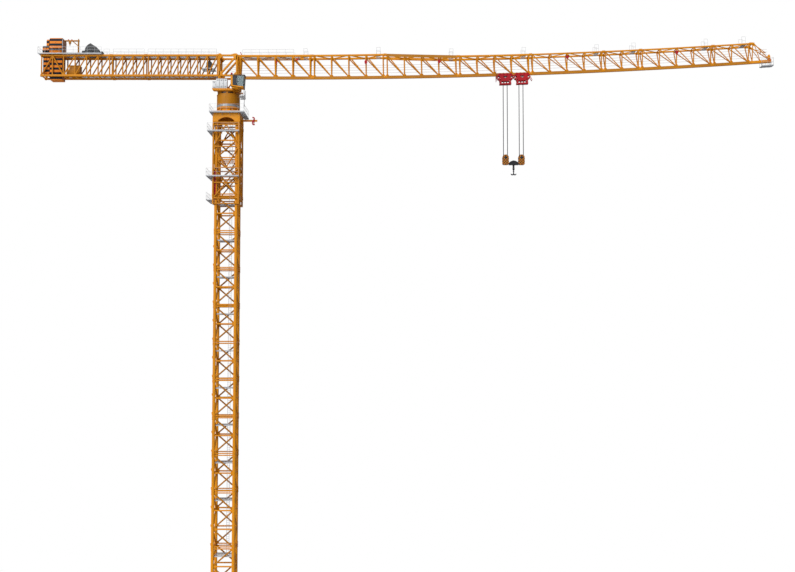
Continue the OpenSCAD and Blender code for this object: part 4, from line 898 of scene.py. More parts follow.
# cabinets: doors with seams, handles and vents under a roof that stands proud
boxes = {"rows": [(-166, -110, 148), (-109, -52, 148), (-51, 8, 148), (-222, -167, 108)], "front": -196.0,
         "back": -125.0}
walls, trims, vents = [], [], []
for x0, x1, high in boxes["rows"]:
    y0 = boxes["front"] + (6 if high < 120 else 0)
    y1 = boxes["back"] - (6 if high < 120 else 0)
    walls.append(blocks((x0 + 1.5, y0 + 2, top + 3), (x1 - 1.5, y1, top + high), 2.5))
    walls.append(blocks((x0 + 3, y0, top + 8), (x1 - 3, y0 + 3, top + high - 4), 1.5))
    walls.append(blocks((x0 - 0.6, y0 - 3, top + high), (x1 + 0.6, y1, top + high + 5), 1.5))
    trims.append(blocks((x0 + 1, y0 + 1, top), (x1 - 1, y1, top + 3.4), 1))
    trims.append(blocks((x1 - 10, y0 - 2.6, top + high * 0.52),
                        (x1 - 7.4, y0 + 0.5, top + high * 0.52 + 15), 1))
    trims.append(rods([(x0 + 4, y0 - 0.8, top + high * k) for k in (0.2, 0.8)],
                      [(x0 + 4, y0 - 0.8, top + high * k + 9) for k in (0.2, 0.8)], 1.6, 8))
    for share in (0.16, 0.86):
        zs = top + high * share + np.arange(6) * 3.2 - 8
        ys = np.full(6, y0 - 0.5)
        vents.append(prisms(rectangle(2.4, 1.3), np.stack([np.full(6, x0 + 16), ys, zs], 1),
                            np.stack([np.full(6, x1 - 16), ys, zs], 1)))
addPiece("switchCabinets", "upperworks", {cabinetGrey: walls, zincSteel: trims + vents},
         ["switch_cabinets"])
print("deck made")

cab = {"x": 80.0, "width": 138.0, "low": 7907.5, "y": -344.0}
cx, cz, near, far = cab["x"], cab["low"], cab["y"], cab["y"] + cab["width"]
cabSide = line((cx + 10, cz + 28), (cx + 201, cz), (cx + 217, cz + 201), (cx, cz + 201))
window = line((cx + 106, cz + 41), (cx + 196, cz + 28), (cx + 208, cz + 192), (cx + 106, cz + 192))
panel = line((cx + 40, cz + 51), (cx + 100, cz + 42), (cx + 100, cz + 192), (cx + 39, cz + 192))
opening = line((cx + 35, cz + 47), (cx + 201, cz + 23), (cx + 214, cz + 197), (cx + 34, cz + 197))


def inset(outline, by):
    # every corner of an outline moved towards the middle by about the same amount
    middle = outline.mean(0)
    return middle + (outline - middle) * (1 - by / np.abs(outline - middle).max(0))


def sidePlate(outline, one, other, holes=()):
    # a plate between two values of y; it runs towards -y, so that its outline's u points along +x
    return plate(outline, (0, max(one, other), 0), (0, min(one, other), 0), holes)


skins, rubber, panes, dark = [], [], [], []
for y, out in ((near, -1), (far, 1)):
    skins.append(sidePlate(cabSide, y, y - out * 4, [opening]))
    rubber.append(sidePlate(opening, y + out, y - out * 3, [window, panel]))
    dark.append(sidePlate(inset(panel, -0.5), y - out * 0.6, y - out * 3))
    panes.append(sidePlate(inset(window, -0.5), y - out * 0.6, y - out * 2.6))
    rubber.append(blocks((cx + 110, y, cz + 92), (cx + 126, y + out * 3.5, cz + 96), 1))
slope = line((cx + 203.5, 0, cz + 6), (cx + 216, 0, cz + 194))
centre = (0, (near + far) / 2, 0)
screen = [prisms(rectangle(2, far - near - 12), slope[0] + centre, slope[1] + centre, sideways)]
pillars = [prisms(rectangle(6, 6), [slope[0] + (-1, y, -4)], [slope[1] + (-1, y, 4)], sideways)
           for y in (near + 3, far - 3)]
rungs = np.stack([slope[0] + (slope[1] - slope[0]) * t for t in (0, 0.34, 1)])
pillars.append(bars(rungs + (0.5, near + 4, 0), rungs + (0.5, far - 4, 0), 6, 6, 1))
roof = [blocks((cx - 6, near - 4, cz + 200), (cx + 223, far + 4, cz + 207), 2.5),
        blocks((cx + 4, near + 8, cz + 206), (cx + 206, far - 8, cz + 211), 2.5)]
floorLine = [bars([(cx + 10, y, cz + 30) for y in (near + 4, far - 4)],
                  [(cx + 201, y, cz + 2) for y in (near + 4, far - 4)], 8, 6, 1)]
body = [plate(line((cx + 10, cz + 30), (cx + 201, cz + 2), (cx + 201, cz + 6), (cx + 10, cz + 34)),
              (0, far - 2, 0), (0, near + 2, 0)),
        blocks((cx + 24, near + 14, cz + 0), (cx + 140, far - 10, cz + 24), 4),
        blocks((cx + 3, near + 2, cz + 34), (cx + 10, far - 2, cz + 200), 2)]
seat = [blocks((cx + 92, near + 44, cz + 44), (cx + 140, far - 44, cz + 58), 5),
        blocks((cx + 80, near + 46, cz + 56), (cx + 94, far - 46, cz + 122), 5),
        blocks((cx + 104, near + 56, cz + 22), (cx + 128, far - 56, cz + 44), 3),
        blocks((cx + 100, near + 26, cz + 60), (cx + 146, near + 40, cz + 78), 3),
        blocks((cx + 100, far - 40, cz + 60), (cx + 146, far - 26, cz + 78), 3),
        rods([(cx + 140, near + 33, cz + 78), (cx + 140, far - 33, cz + 78)],
             [(cx + 144, near + 33, cz + 96), (cx + 144, far - 33, cz + 96)], 2.4, 10)]
grab = [rods((cx + 100, near - 5, cz + 84), (cx + 100, near - 5, cz + 150), 1.8, 8),
        rods([(cx + 100, near - 5, cz + z) for z in (84, 150)],
             [(cx + 100, near, cz + z) for z in (84, 150)], 1.8, 8)]
addPiece("cabShell", "upperworks",
         {orangePaint: skins + body[:2], darkPanel: dark + floorLine,
          blackPaint: rubber + seat + roof + pillars + body[2:], paleSteel: grab}, ["cab_shell"])
addPiece("cabGlass", "upperworks", {cabGlass: panes + screen}, ["cab_glass"])
# the bracket under the cab takes the darker copy of the orange: painted shade under the cab
bracketParts = [carried(np.array([(11, -10), (11, 10), (8, 10), (3, 7), (3, -7), (-8, -7), (-8, 10),
                                  (-11, 10), (-11, -10)]),
                        line((x + 11, near + 14, cz - 11), (x + 11, -144, cz - 11))) for x in (104, 194)]
bracketParts.append(bars((104, -208, cz - 11), (216, -208, cz - 11), 16, 20, 2))
bracketParts.append(bolts([(x + 11, y, cz - 21) for x in (104, 194) for y in (-190, -170, -320, -300)],
                          downwards, 3, 3))
addPiece("cabBracket", "upperworks", {paintedShadeOrange: bracketParts}, ["cab_bracket"])
print("cab made")

head = {"left": -132.0, "right": 144.0, "chord": 30.0, "low": crane["lowChord"], "up": crane["topChord"],
        "foot": crane["deckTop"], "strutX": 6.0, "plate": 3.0,
        "bigPlate": [(0, 72), (48, 44), (66, 3), (0, 0)],
        "smallPlate": [(0, 0), (44, 0), (38, 10), (10, 38), (0, 44)],
        "footPlate": [(-34, -20), (40, -20), (24, 16), (-18, 16)], "rib": [(0, 0), (14, 0), (0, 40)],
        "backHump": [(-15, -1), (44, -1), (20, 15), (-6, 15)],
        "frontHump": [(-92, -1), (15, -1), (-6, 15), (-40, 15)]}
hl, hr, hy, c = head["left"], head["right"], crane["chordHalf"], head["chord"]


def headSide(y):
    # one side of the head: two posts, two chords, the diagonal with its gussets and the struts under it
    low, up, foot, strutX, thick = (head[key] for key in ("low", "up", "foot", "strutX", "plate"))
    parts = [bars(*posts([(hl, y), (hr, y)], foot, up + 15), c, c, 3),
             bars([(hl, y, low), (hl, y, up)], [(hr, y, low), (hr, y, up)], c - 2, c - 2, 3),
             bars((hl + 12, y, low + 12), (hr - 12, y, up - 12), 22, 30, 3),
             rods([(hl, y, low), (hr, y, low)], (strutX, y, foot + 14), 9, 14)]
    for side in (y - 13.5, y + 13.5):
        for x, z, sign in ((hr, up, -1), (hl, low, 1)):
            parts.append(sheets(flips(head["bigPlate"], sign, sign), (x, side, z), thick))
        for x, z, right, lift in ((hl, up, 1, -1), (hr, low, -1, 1)):
            small = flips(head["smallPlate"], right, lift)
            parts.append(sheets(small, (x + right * 10, side, z + lift * 12), thick))
        parts.append(sheets(head["footPlate"], (strutX, side, foot + 22), thick))
    for x, hump in ((hl, head["backHump"]), (hr, head["frontHump"])):
        parts.append(sheets(hump, (x, y, up + 15), c - 4))
        parts.append(rods((x + 2, y - 17, up + 2), (x + 2, y + 17, up + 2), 5.5, 14))
        parts.append(blocks((x - 24, y - 21, foot), (x + 24, y + 21, foot + 7), 1.5))
        heads = [(x + u, y + v, foot + 7) for u in (-19, 19) for v in (-14, 14)]
        parts.append(bolts(heads, upwards, 3.4, 4))
        for t in (-1, 1):
            parts.append(sheets(flips(head["rib"], t, 1), (x + t * 15, y, foot + 7), 4))
    parts.append(blocks((-20, y - 13, foot), (32, y + 13, foot + 10), 2))
    return parts


headParts = headSide(-hy) + headSide(hy)
ends = [(x, z) for x in (hl, hr) for z in (head["low"], head["up"])]
headParts.append(bars(*across(ends, hy), c - 4, c - 4, 3))
headParts.append(rods([(x, -hy, head["low"]) for x in (hl, hr)],
                      [(x, hy, head["up"]) for x in (hl, hr)], 7, 12))
addPiece("headFrame", "upperworks",
         {orangePaint: headParts,
          redPaint: [blocks([(88, -92, head["foot"]), (118, 60, head["foot"])],
                            [(128, -62, head["foot"] + 34), (150, 88, head["foot"] + 46)], 3),
                     blocks([(140, -104, 8118), (50, -120, 8175.5)], [(156, -74, 8142), (78, -98, 8204)],
                            3)]}, ["head_frame"])

jib = {"starts": np.array([191.0, 1348, 2492, 3635, 4772, 5916, 6497, 7634, 8228]),
       "panels": [4, 4, 4, 4, 4, 2, 4, 2], "gap": 62.0, "half": 97.0,
       "chords": [32, 28, 28, 28, 23, 23, 23, 23], "braces": [10.5, 9.5, 9.5, 9.5, 8, 8, 8, 8],
       "face": 159.0, "tip": 295.0}
heightAt = ([191, 2461, 3604, 4300, 8560], [318, 330, 282, 276, 272])


def jibHeight(x):
    # the height between the chords, linear between the stations
    return np.interp(x, *heightAt)


def jibPoint(x, y, h):
    # the jib's arc: the lowest point plus the radius less the height, turned by x over the radius
    x, y, h = np.broadcast_arrays(np.asarray(x, float), np.asarray(y, float), np.asarray(h, float))
    turn = (x - crane["jibLowX"]) / crane["jibCurve"]
    reach = crane["jibCurve"] - h
    return np.stack([crane["jibLowX"] + reach * np.sin(turn), y,
                     crane["jibLowZ"] + crane["jibCurve"] - reach * np.cos(turn)], -1)


def jibTop(x, y, lift=0.0):
    # the point on the arc at the upper chords' height plus the lift
    return jibPoint(x, y, jibHeight(x) + lift)


railOutline = np.array([(32, -21), (32, -17.5), (30, -16.4), (13.6, -16.2), (13, -14), (13, 19), (11, 21),
                        (-11, 21), (-13, 19), (-13, -14), (-13.6, -16.2), (-30, -16.4), (-32, -17.5),
                        (-32, -21)])


def jibTruss(number):
    # one section: bent chords, V frames at each station, braces, cross bars, knuckles and pins
    # the lower chord's web and a side plate come apart, since they lie in shade
    k = number - 1
    first, last = jib["starts"][k], jib["starts"][k + 1] - jib["gap"]
    xs = np.linspace(first, last, jib["panels"][k] + 1)
    faceIn = jib["face"] + 1 if k == 0 else first - jib["gap"] / 2
    faceOut = last + jib["gap"] / 2
    stations = np.unique(np.concatenate([[faceIn, faceOut], xs,
                                         [x for x in heightAt[0] if faceIn < x < faceOut]]))
    half, chord, brace = jib["half"], jib["chords"][k], jib["braces"][k]
    small = 1.0 if k == 0 else 0.65
    # the lower flange in the lit orange, the lower chord's web in the darker orange of painted shade
    parts = [carried(rectangle(65, 4.8), jibPoint(stations, 0, -19.0))]
    shaded = [carried(railOutline, jibPoint(stations, 0, 0))]
    for s in (-1, 1):
        parts.append(carried(barOutline(chord, chord, 3), jibTop(stations, s * half)))
        for a, b in ((faceIn + 0.6, faceIn + 24), (faceOut - 24, faceOut - 0.6)):
            parts.append(bars(jibTop(a, s * half), jibTop(b, s * half), 35, 35, 3))
        parts.append(bolts([jibTop(x, s * half) + (0, s * 17.5, z)
                            for x in (faceIn + 7, faceIn + 17, faceOut - 7, faceOut - 17) for z in (-9, 9)],
                           (0, s, 0), 2.6, 2.6))
        pin = jibTop(faceOut, s * half)
        parts.append(turned([(0, -21), (6.4, -21), (6.4, -18.5), (4.6, -18), (4.6, 18), (6.4, 18.5),
                             (6.4, 21), (0, 21)], [pin], (0, 1, 0), 14))
        starts = np.stack([jibPoint(x, 0, 8) for x in xs])
        ends = np.stack([jibTop(x, s * half, -6) for x in xs])
        parts.append(rods(starts, ends, brace + (3 if k == 0 else 1), 12))
        parts.append(rods(jibTop(xs[:-1], s * half, -4), jibPoint(xs[1:], 0, 10), brace, 12))
        # gussets that hang from the upper chord in the slanting side's plane
        out = np.cross(forwards, unit(line(0, s * half, jibHeight(xs.mean()))))
        gusset = flips([(-12, -18), (4, -30), (27, -22), (36, 4), (-22, 4)], -s, 1) * small
        parts.append(sheets(gusset, jibTop(xs, s * half, -12) + out * 3, 3, (0, 0.955 * s, 0.297)))
    gusset = line((-40, -2), (46, -2), (34, 18), (10, 34), (-12, 34), (-30, 18)) * (small, (small + 1) / 2)
    parts += [sheets(gusset, jibPoint(xs, push, 20), 3) for push in (-7, 7)]
    for a, b in ((faceIn + 0.6, faceIn + 26), (faceOut - 26, faceOut - 0.6)):
        parts.append(bars(jibPoint(a, 0, 2), jibPoint(b, 0, 2), 32, 38, 3))
    parts.append(rods(jibPoint(faceOut, -17, 4), jibPoint(faceOut, 17, 4), 5.5, 14))
    parts.append(rods(jibTop(xs, -half), jibTop(xs, half), brace - 0.5, 12))
    side = np.where(np.arange(len(xs) - 1) % 2 == 0, -half, half)
    parts.append(rods(jibTop(xs[:-1], side), jibTop(xs[1:], -side), brace - 1, 12))
    corner = [(-2, -2), (34, -2), (34, 8), (8, 34), (-2, 34)]
    places = jibTop(xs[:-1], side - np.sign(side) * 12, 3)
    parts.append(sheets(flips(corner, -np.sign(side), 1), places, 3, upwards))
    if number == 3:
        # deep side plates on this section's upper chords, as the photograph shows them; the near one takes
        # the darker orange of painted shade
        for s, kept in ((-1, shaded), (1, parts)):
            kept.append(carried(rectangle(2.4, 46), jibTop(stations[1:-1], s * half - 15, -10)))
    return parts, shaded


for number in range(1, 9):
    made, shaded = jibTruss(number)
    addPiece("jibSection%d" % number, "upperworks", {orangePaint: made, paintedShadeOrange: shaded},
             ["jib_section_%d" % number])

x0 = jib["starts"][8]
x1 = x0 + jib["tip"]
face = x0 - jib["gap"] / 2
h = float(jibHeight(x0))
tip = [carried(railOutline, jibPoint([face, x0, x0 + 150, x1], 0, 0))]
for s in (-1, 1):
    y = s * jib["half"]
    tip.append(bars(jibTop(face + 0.6, y), jibTop(x0 + 24, y), 28, 28, 3))
    tip.append(bars(jibTop(face + 0.6, y), jibTop(face + 24, y), 35, 35, 3))
    tip.append(rods([jibPoint(x0, 0, 8), jibTop(x0 + 18, y)],
                    [jibTop(x0, y, -6), jibPoint(x1 - 10, 0, 10)], 7.5, 12))
    tip.append(rods([jibTop(x0 + 20, y), jibPoint(x0 + 76, y * 0.8, h * 0.8)],
                    [jibPoint(x0 + 130, 0, 6), jibPoint(x0 + 226, 0, h / 2)], 5.5, 12))
    tip.append(sheets([(-20, -30), (30, -30), (20, 4), (-30, 4)], jibTop(x0 + 14, y, -12), 3))
tip.append(rods([jibTop(x0, -jib["half"]), jibPoint(x0 + 142, -44, h / 2 + 8)],
                [jibTop(x0, jib["half"]), jibPoint(x0 + 142, 44, h / 2 + 8)], 6.5, 12))
for push in (-10, 10):
    tip.append(sheets([(-24, 0), (24, 0), (20, 62), (8, 86), (-8, 86), (-20, 62)],
                      jibPoint(x1 - 30, push, 18), 4))


def sheave(centre, radius, wide, sides=28):
    # a rope wheel: hub, thin web and a grooved rim turned round the y axis
    profile = np.array([(0, 0), (0.36, 0), (0.36, 0.3), (0.72, 0.36), (0.84, 0), (1, 0), (1, 0.16),
                        (0.87, 0.38), (0.87, 0.62), (1, 0.84), (1, 1), (0.84, 1), (0.72, 0.64), (0.36, 0.7),
                        (0.36, 1), (0, 1)]) * (radius, wide)
    profile[[0, -1], 0] = 4.0
    return turned(profile, [np.asarray(centre, float) - (0, wide / 2, 0)], sideways, sides, True)


tipSheave = jibPoint(x1 - 26, 0, 18)
addPiece("jibTip", "upperworks",
         {orangePaint: tip, redPaint: [sheave(tipSheave + (0, s * 9, 0), 26, 11) for s in (-1, 1)],
          wornSteel: [rods([tipSheave - (0, 20, 0)], [tipSheave + (0, 20, 0)], 4.4, 14)]}, ["jib_tip"])


def onJib(points, x):
    # from a piece's own axes to the jib's arc at x: along, across and up from the chord's centre line
    p = np.asarray(points, float)
    turn = (x - crane["jibLowX"]) / crane["jibCurve"]
    c, s = math.cos(turn), math.sin(turn)
    return jibPoint(x, 0, 0) + np.stack([p[..., 0] * c - p[..., 2] * s, p[..., 1],
                                         p[..., 0] * s + p[..., 2] * c], -1)


def onTip(points):
    # the tip's platform lies on the arc 82 mm before the jib's end
    return onJib(points, x1 - 82)


tipFloor = [(onTip(points), faces) for points, faces in grating((-88, -54, -85), (102, 54, -77), 10, 2.6)]
tipFloor.append(bars(onTip([(t, y, -80) for t in (-60, 60) for y in (-28, 28)]),
                     onTip([(t, y, -21) for t in (-60, 60) for y in (-28, 28)]), 5, 5, 1))
tipFloor.append(bars(onTip([(t, -54, -87) for t in (-60, 60)]),
                     onTip([(t, 54, -87) for t in (-60, 60)]), 6, 6, 1))
tipRails = []
for s in (-1, 1):
    tipRails += railing(onTip([(-86, s * 51, -77), (8, s * 51, -77), (100, s * 51, -77)]), 118, toe=9)
tipRails += railing(onTip([(100, -51, -77), (100, 51, -77)]), 118)[:3]
addPiece("tipPlatform", "upperworks", {zincSteel: tipFloor, paleSteel: tipRails}, ["tip_platform"])

barX = np.arange(206, 1120, 11.0)
walkRails = []
walk = [prisms(rectangle(1.4, 6.4), jibTop(barX, -44, -13.4), jibTop(barX, 44, -13.4))]
walkEdges = [(y, 2.6, 8, -13.4) for y in (-43.6, 43.6)] + [(y, 1.6, 2, -10.4) for y in (-22, 0, 22)]
for y, wide, deep, z in walkEdges:
    walk.append(carried(rectangle(wide, deep), jibTop(np.linspace(206, 1120, 9), y, z)))
for s in (-1, 1):
    walkRails += railing(jibTop(226 + np.arange(7) * 134.0, s * jib["half"], 14.3), 90, 1.5)
for k in range(8):
    mid = jib["starts"][k + 1] - jib["gap"] - 74
    base = jibTop(mid, 0)
    drop = -19.0 if k == 0 else -17.0
    floor = grating((-31, -82.4, drop), (31, 82.4, drop + 8), 9, 2.4)
    walk += [(points + base, faces) for points, faces in floor]
    for s in (-1, 1):
        ends = np.array([(-29, s * 80.5, drop + 8), (29, s * 80.5, drop + 8)]) + base
        walkRails += railing(ends, 132)
addPiece("jibWalkways", "upperworks", {zincSteel: walk, paleSteel: walkRails}, ["jib_walkways"])

pulleys, brackets = [], []
for k, n in ((0, 2), (0, 3), (1, 3), (2, 3), (3, 2), (4, 2), (6, 2)):
    xs = np.linspace(jib["starts"][k], jib["starts"][k + 1] - jib["gap"], jib["panels"][k] + 1)
    hang = jibTop(xs[n], 0, -17.3 if k == 0 else -7)
    pulleys.append(sheave(hang - (0, 0, 24), 13, 9, 20))
    for s in (-1, 1):
        brackets.append(sheets([(-5, -30), (5, -30), (6, -2), (3, 0), (-3, 0), (-6, -2)],
                               [hang + (0, s * 6.4, 0)], 1.6))
    brackets.append(rods([hang - (0, 8, 24)], [hang - (0, -8, 24)], 2.4, 10))
    brackets.append(blocks([hang - (7, 8, 2)], [hang + (7, 8, -0.3)], 0.8))
addPiece("ropePulleys", "upperworks", {redPaint: brackets, wornSteel: pulleys}, ["rope_pulleys"])

# a lifting lug on the chord by the head and sheave blocks that hang under the near upper chord
lugs = [bars(jibTop(216, -97, 10), jibTop(194, -97, 62), 11, 11, 2, sideways),
        sheets([(-4, -40), (14, -26), (24, 6), (-4, 10)], jibTop(754, -88, -84), 8),
        sheets([(-30, -22), (-2, -32), (8, 6), (-22, 2)], jibTop(1092, -92, -46), 8),
        sheets([(-20, -28), (8, -32), (23, -8), (17, 24), (-13, 27), (-24, 2)],
               [jibTop(2160, -87, -104), jibTop(3308, -90, -79), jibTop(5320, -90, -50),
                jibTop(7036, -90, -62)], 9),
        bars(jibTop(1098, -92, -40), jibTop(1112, -92, -14), 9, 10, 2, sideways)]
addPiece("jibLugs", "upperworks", {redPaint: lugs}, ())

ropeX = np.array([jib["face"], 2492, 3635, 5916, x1 - 50.4])
ropes = []
for k, lift in enumerate((69, 112, 150, 190)):
    start = np.array([[-258.0 + k * 0.3, 0, crane["lowChord"] + 202 + k * 5]])
    ropes.append(carried(circleOutline(1.8, 8), np.concatenate([start, jibPoint(ropeX, 0, lift)])))
addPiece("jibRopes", "upperworks", {orangeBrownRope: ropes}, ["jib_ropes"])
print("jib made")

counter = {"low": crane["lowChord"], "up": crane["topChord"], "half": crane["chordHalf"], "chord": 30.0,
           "brace": 18.0, "joints": (-1820.0, -1276.0), "end": -2918.0, "ballastIn": -2562.0}


def counterTruss(faceOut, faceIn, xs, openEnd):
    # chords with knuckles, pins and bolts, gussets and cross bars, and the uprights and slanting braces apart
    low, up, half, chord = counter["low"], counter["up"], counter["half"], counter["chord"]
    xs = np.asarray(xs, float)
    parts, braces = [], []
    for s in (-1, 1):
        y = s * half
        for z in (low, up):
            parts.append(bars((faceOut + 0.4, y, z), (faceIn - 0.4, y, z), chord, chord, 3))
            for a, b in ((faceOut + 0.6, faceOut + 22), (faceIn - 22, faceIn - 0.6)):
                parts.append(bars((a, y, z), (b, y, z), chord + 7, chord + 7, 3))
            parts.append(turned([(0, -23), (7, -23), (7, -20), (5, -19.6), (5, 19.6), (7, 20), (7, 23),
                                 (0, 23)], (faceIn, y, z), (0, 1, 0), 14))
            parts.append(bolts([(x, y + s * 18.5, z + t) for x in (faceOut + 11, faceIn - 11)
                                for t in (-11, 11)], (0, s, 0), 2.8, 2.8))
        braces.append(bars(*posts([(x, y) for x in xs], low, up), counter["brace"], counter["brace"] - 1, 2))
        rising = np.array([not (openEnd and i == 1) for i in range(len(xs) - 1)])
        flat = np.full(len(rising), y)
        a = np.stack([xs[:-1] + 7, flat, np.where(rising, low + 16, up - 16)], 1)
        b = np.stack([xs[1:] - 7, flat, np.where(rising, up - 16, low + 16)], 1)
        braces.append(rods(a, b, counter["brace"] / 2 + 1, 12))
        lift = np.where(rising, 1.0, -1.0)
        gusset = [(-10, -4), (26, -4), (24, 5), (8, 24), (-10, 24)]
        for push in (-4.6, 4.6):
            for ends, s2 in ((a, 1), (b, -1)):
                shift = np.stack([0 * lift - 6 * s2, 0 * lift + push, -lift * 2 * s2], 1)
                parts.append(sheets(flips(gusset, s2, lift * s2), ends + shift, 2.4))
    cross = xs[[not (openEnd and i == 1) for i in range(len(xs))]]
    for z in (low, up):
        parts.append(bars(*across([(x, z) for x in cross], half), counter["brace"] - 1, counter["brace"], 2))
    run = xs[2:] if openEnd else xs
    side = np.where(np.arange(len(run) - 1) % 2 == 0, -half, half)
    flat = np.full(len(side), low)
    parts.append(rods(np.stack([run[:-1], side, flat], 1), np.stack([run[1:], -side, flat], 1), 5, 10))
    if openEnd:
        # the first bay closed below, under the two small ballast blocks
        parts.append(bars(*across([(xs[0] + step, low - 4) for step in (50, 104)], half), 14, 12, 2))
        parts.append(rods((xs[0], half, low - 4), (xs[0] + 104, -half, low - 4), 7, 10))
    return parts, braces


# each part of the counter-jib: names, outer and inner face, the stations of its uprights, an open end
jointOut, jointIn = counter["joints"]
innerXs = np.linspace(jointIn + 38, -160, 8)
middleXs = np.linspace(jointOut + 20, jointIn - 37, 4)
outerXs = [counter["end"] + 14, counter["end"] + 185, *np.linspace(counter["ballastIn"], jointOut - 22, 5)]
counterSections = [("counterJibInner", "counter_jib_inner", jointIn, -147, innerXs, False),
                   ("counterJibMiddle", "counter_jib_middle", jointOut, jointIn, middleXs, False),
                   ("counterJibOuter", "counter_jib_outer", counter["end"], jointOut, outerXs, True)]
# the uprights and slanting braces take the slightly darker orange: painted shade
for name, node, faceOut, faceIn, xs, openEnd in counterSections:
    made, braces = counterTruss(faceOut, faceIn, xs, openEnd)
    addPiece(name, "upperworks", {orangePaint: made, paintedHalfShadeOrange: braces}, [node])

# gratings that lie on the cross bars between the upper chords and between the lower ones
flooring = []
for level, start in ((counter["up"], -1940.0), (counter["low"], -2310.0)):
    for a, b in ((start, -1824), (-1816, -1280), (-1272, -176)):
        flooring += grating((a, -90, level + 7), (b, 90, level + 14), 11, 3, True)
addPiece("counterWalkways", "upperworks", {zincSteel: flooring}, ())

deckLook = {"z": 8496.5, "thick": 8.0, "half": 164.0, "end": -2952.0, "last": -1960.0,
            "open": [(-2896.0, -132.0), (-2574.0, 132.0)]}
z, half, top = deckLook["z"], deckLook["half"], deckLook["z"] + deckLook["thick"]
floor = floorRound((deckLook["end"], -half), (deckLook["last"], half), deckLook["open"], (z, top), 11, True)
xs = np.linspace(counter["ballastIn"] - 2, deckLook["last"] - 18, 4)
floor.append(bars(*across([(x, z - 3) for x in xs], half), 12, 6, 1))
rim = bars([(deckLook["end"], s * (half - 1), z + 2) for s in (-1, 1)],
           [(deckLook["last"], s * (half - 1), z + 2) for s in (-1, 1)], 4, 14, 1)
addPiece("counterDeck", "upperworks", {zincSteel: floor, paleSteel: [rim]}, ["counter_deck"])
rails = []
for s in (-1, 1):
    rails += railing(spaced((deckLook["end"] + 2, s * 162, top), (deckLook["last"] - 2, s * 162, top), 9), 96)
    for start, stop, count in ((-1936, -1850, 1), (-1790, -1306, 4), (-1246, -176, 9)):
        rails += railing(spaced((start, s * 108, 8492.5), (stop, s * 108, 8492.5), count), 88)
rails += railing(spaced((deckLook["end"] + 2, -162, top), (deckLook["end"] + 2, 162, top), 3), 96)
addPiece("counterRailings", "upperworks", {paleSteel: rails}, ["counter_railings"])

stones = {"sizes": [(56, 300, 135), (43, 300, 238), (193, 393, 262)], "start": -2890.0, "seat": 8492.5,
          "depth": 84.0, "head": 123.0}
x = stones["start"]
bandParts, fittings = [], []
for wide, under, over in stones["sizes"]:
    d, hd, seat = stones["depth"], stones["head"], stones["seat"]
    cut, slant = 4, 20
    outline = line((cut - d, -under), (d - cut, -under), (d, cut - under), (d, 0), (hd - cut, 0), (hd, cut),
                   (hd, over - slant), (hd - slant, over), (slant - hd, over), (-hd, over - slant),
                   (-hd, cut), (cut - hd, 0), (-d, 0), (-d, cut - under))
    ringFull = outline + (0, seat)
    shrink = outline * ((d - 3) / d, 1 - 3 / over) + (0, seat)
    rowsX = np.array([x, x + 3, x + wide - 3, x + wide])
    rings = [shrink, ringFull, ringFull, shrink]
    points = np.concatenate([np.column_stack([np.full(len(r), px), r]) for px, r in zip(rowsX, rings)])
    bandParts.append((points, tubeFaces(4, len(outline))))
    for y in (-60, 60):
        lift = np.linspace(0, math.pi, 10)
        fittings.append(carried(circleOutline(2.6, 8),
                                np.stack([np.full(10, x + wide / 2), y + 9 * np.cos(lift),
                                          seat + over - 1 + 13 * np.sin(lift)], 1)))
    for y in (-hd, hd):
        for share in (0.3, 0.7):
            fittings.append(turned([(4.4, 0), (6.2, 0), (6.2, 1), (4.4, 1)],
                                   (x + wide / 2, y, seat + over * share), (0, math.copysign(1, y), 0), 16,
                                   True))
    x += wide + 4
endPlate = [prisms(shrink * (0.96, 1) + (0, 4), (x - 5, 0, 0), (x - 3, 0, 0))]
endStrip = [bars((x - 3.2, -stones["head"] + 12, stones["seat"] + 4),
                 (x - 3.2, -stones["head"] + 12, stones["seat"] + 238), 6, 24, 1)]
addPiece("ballastBlocks", "upperworks",
         {ballastBands: bandParts[2:], smallBands: bandParts[:2], sideHatch: endPlate,
          forgedSteel: fittings, zincSteel: endStrip}, ["ballast_blocks"])
print("counter-jib made")

winch = {"x": -2290.0, "z": 8504.5}
wx, wz = winch["x"], winch["z"]
cover = line((0, 6), (0, 52), (6, 58), (44, 60), (48, 90), (62, 120), (78, 140), (100, 158), (128, 170),
             (136, 176), (144, 170), (180, 146), (216, 126), (236, 108), (252, 82), (262, 60), (276, 44),
             (276, 6)) + (wx, wz)
middle = cover.mean(0)
parts = [prisms((middle + (cover - middle) * 0.975)[::-1], (0, 72, 0), (0, -72, 0))]
parts += [prisms(cover[::-1], (0, y + 3, 0), (0, y - 3, 0)) for y in np.linspace(-72, 72, 7)]
rimLine = cover[2:-1]
darkBand = [carried(rectangle(150, 2.4),
                    np.column_stack([rimLine[5:9, 0], np.zeros(4), rimLine[5:9, 1] + 0.8]))]
bed = [bars([(wx - 4, y, wz + 4) for y in (-70, 70)], [(wx + 322, y, wz + 4) for y in (-70, 70)], 12, 8, 2),
       bars(*across([(wx + t, wz + 4) for t in (8, 140, 268, 316)], 76), 10, 8, 2)]
discs = []
for s in (-1, 1):
    base = (wx + 134, s * 75, wz + 70)
    discs.append(turned([(0, 0), (54, 0), (54, 9), (51, 12), (38, 12), (36, 9), (22, 9), (20, 17), (16, 19),
                         (0, 19)], [base], (0, s, 0), 40))
    discs.append(bolts([(wx + 134 + 45 * math.cos(t), s * 87, wz + 70 + 45 * math.sin(t))
                        for t in np.arange(10) * 0.628], (0, s, 0), 2.6, 2.6))
motor = [turned([(0, 0), (20, 0), (21, 4), (21, 10), (19, 12), (19, 72), (21, 74), (21, 84), (14, 92),
                 (0, 92)], (wx + 302, -46, wz + 32), sideways, 28)]
fins = np.linspace(-30, 22, 12)
motor.append(turned([(18.5, 0), (21.6, 0), (21.6, 1.6), (18.5, 1.6)],
                    [(wx + 302, y, wz + 32) for y in fins], sideways, 28, True))
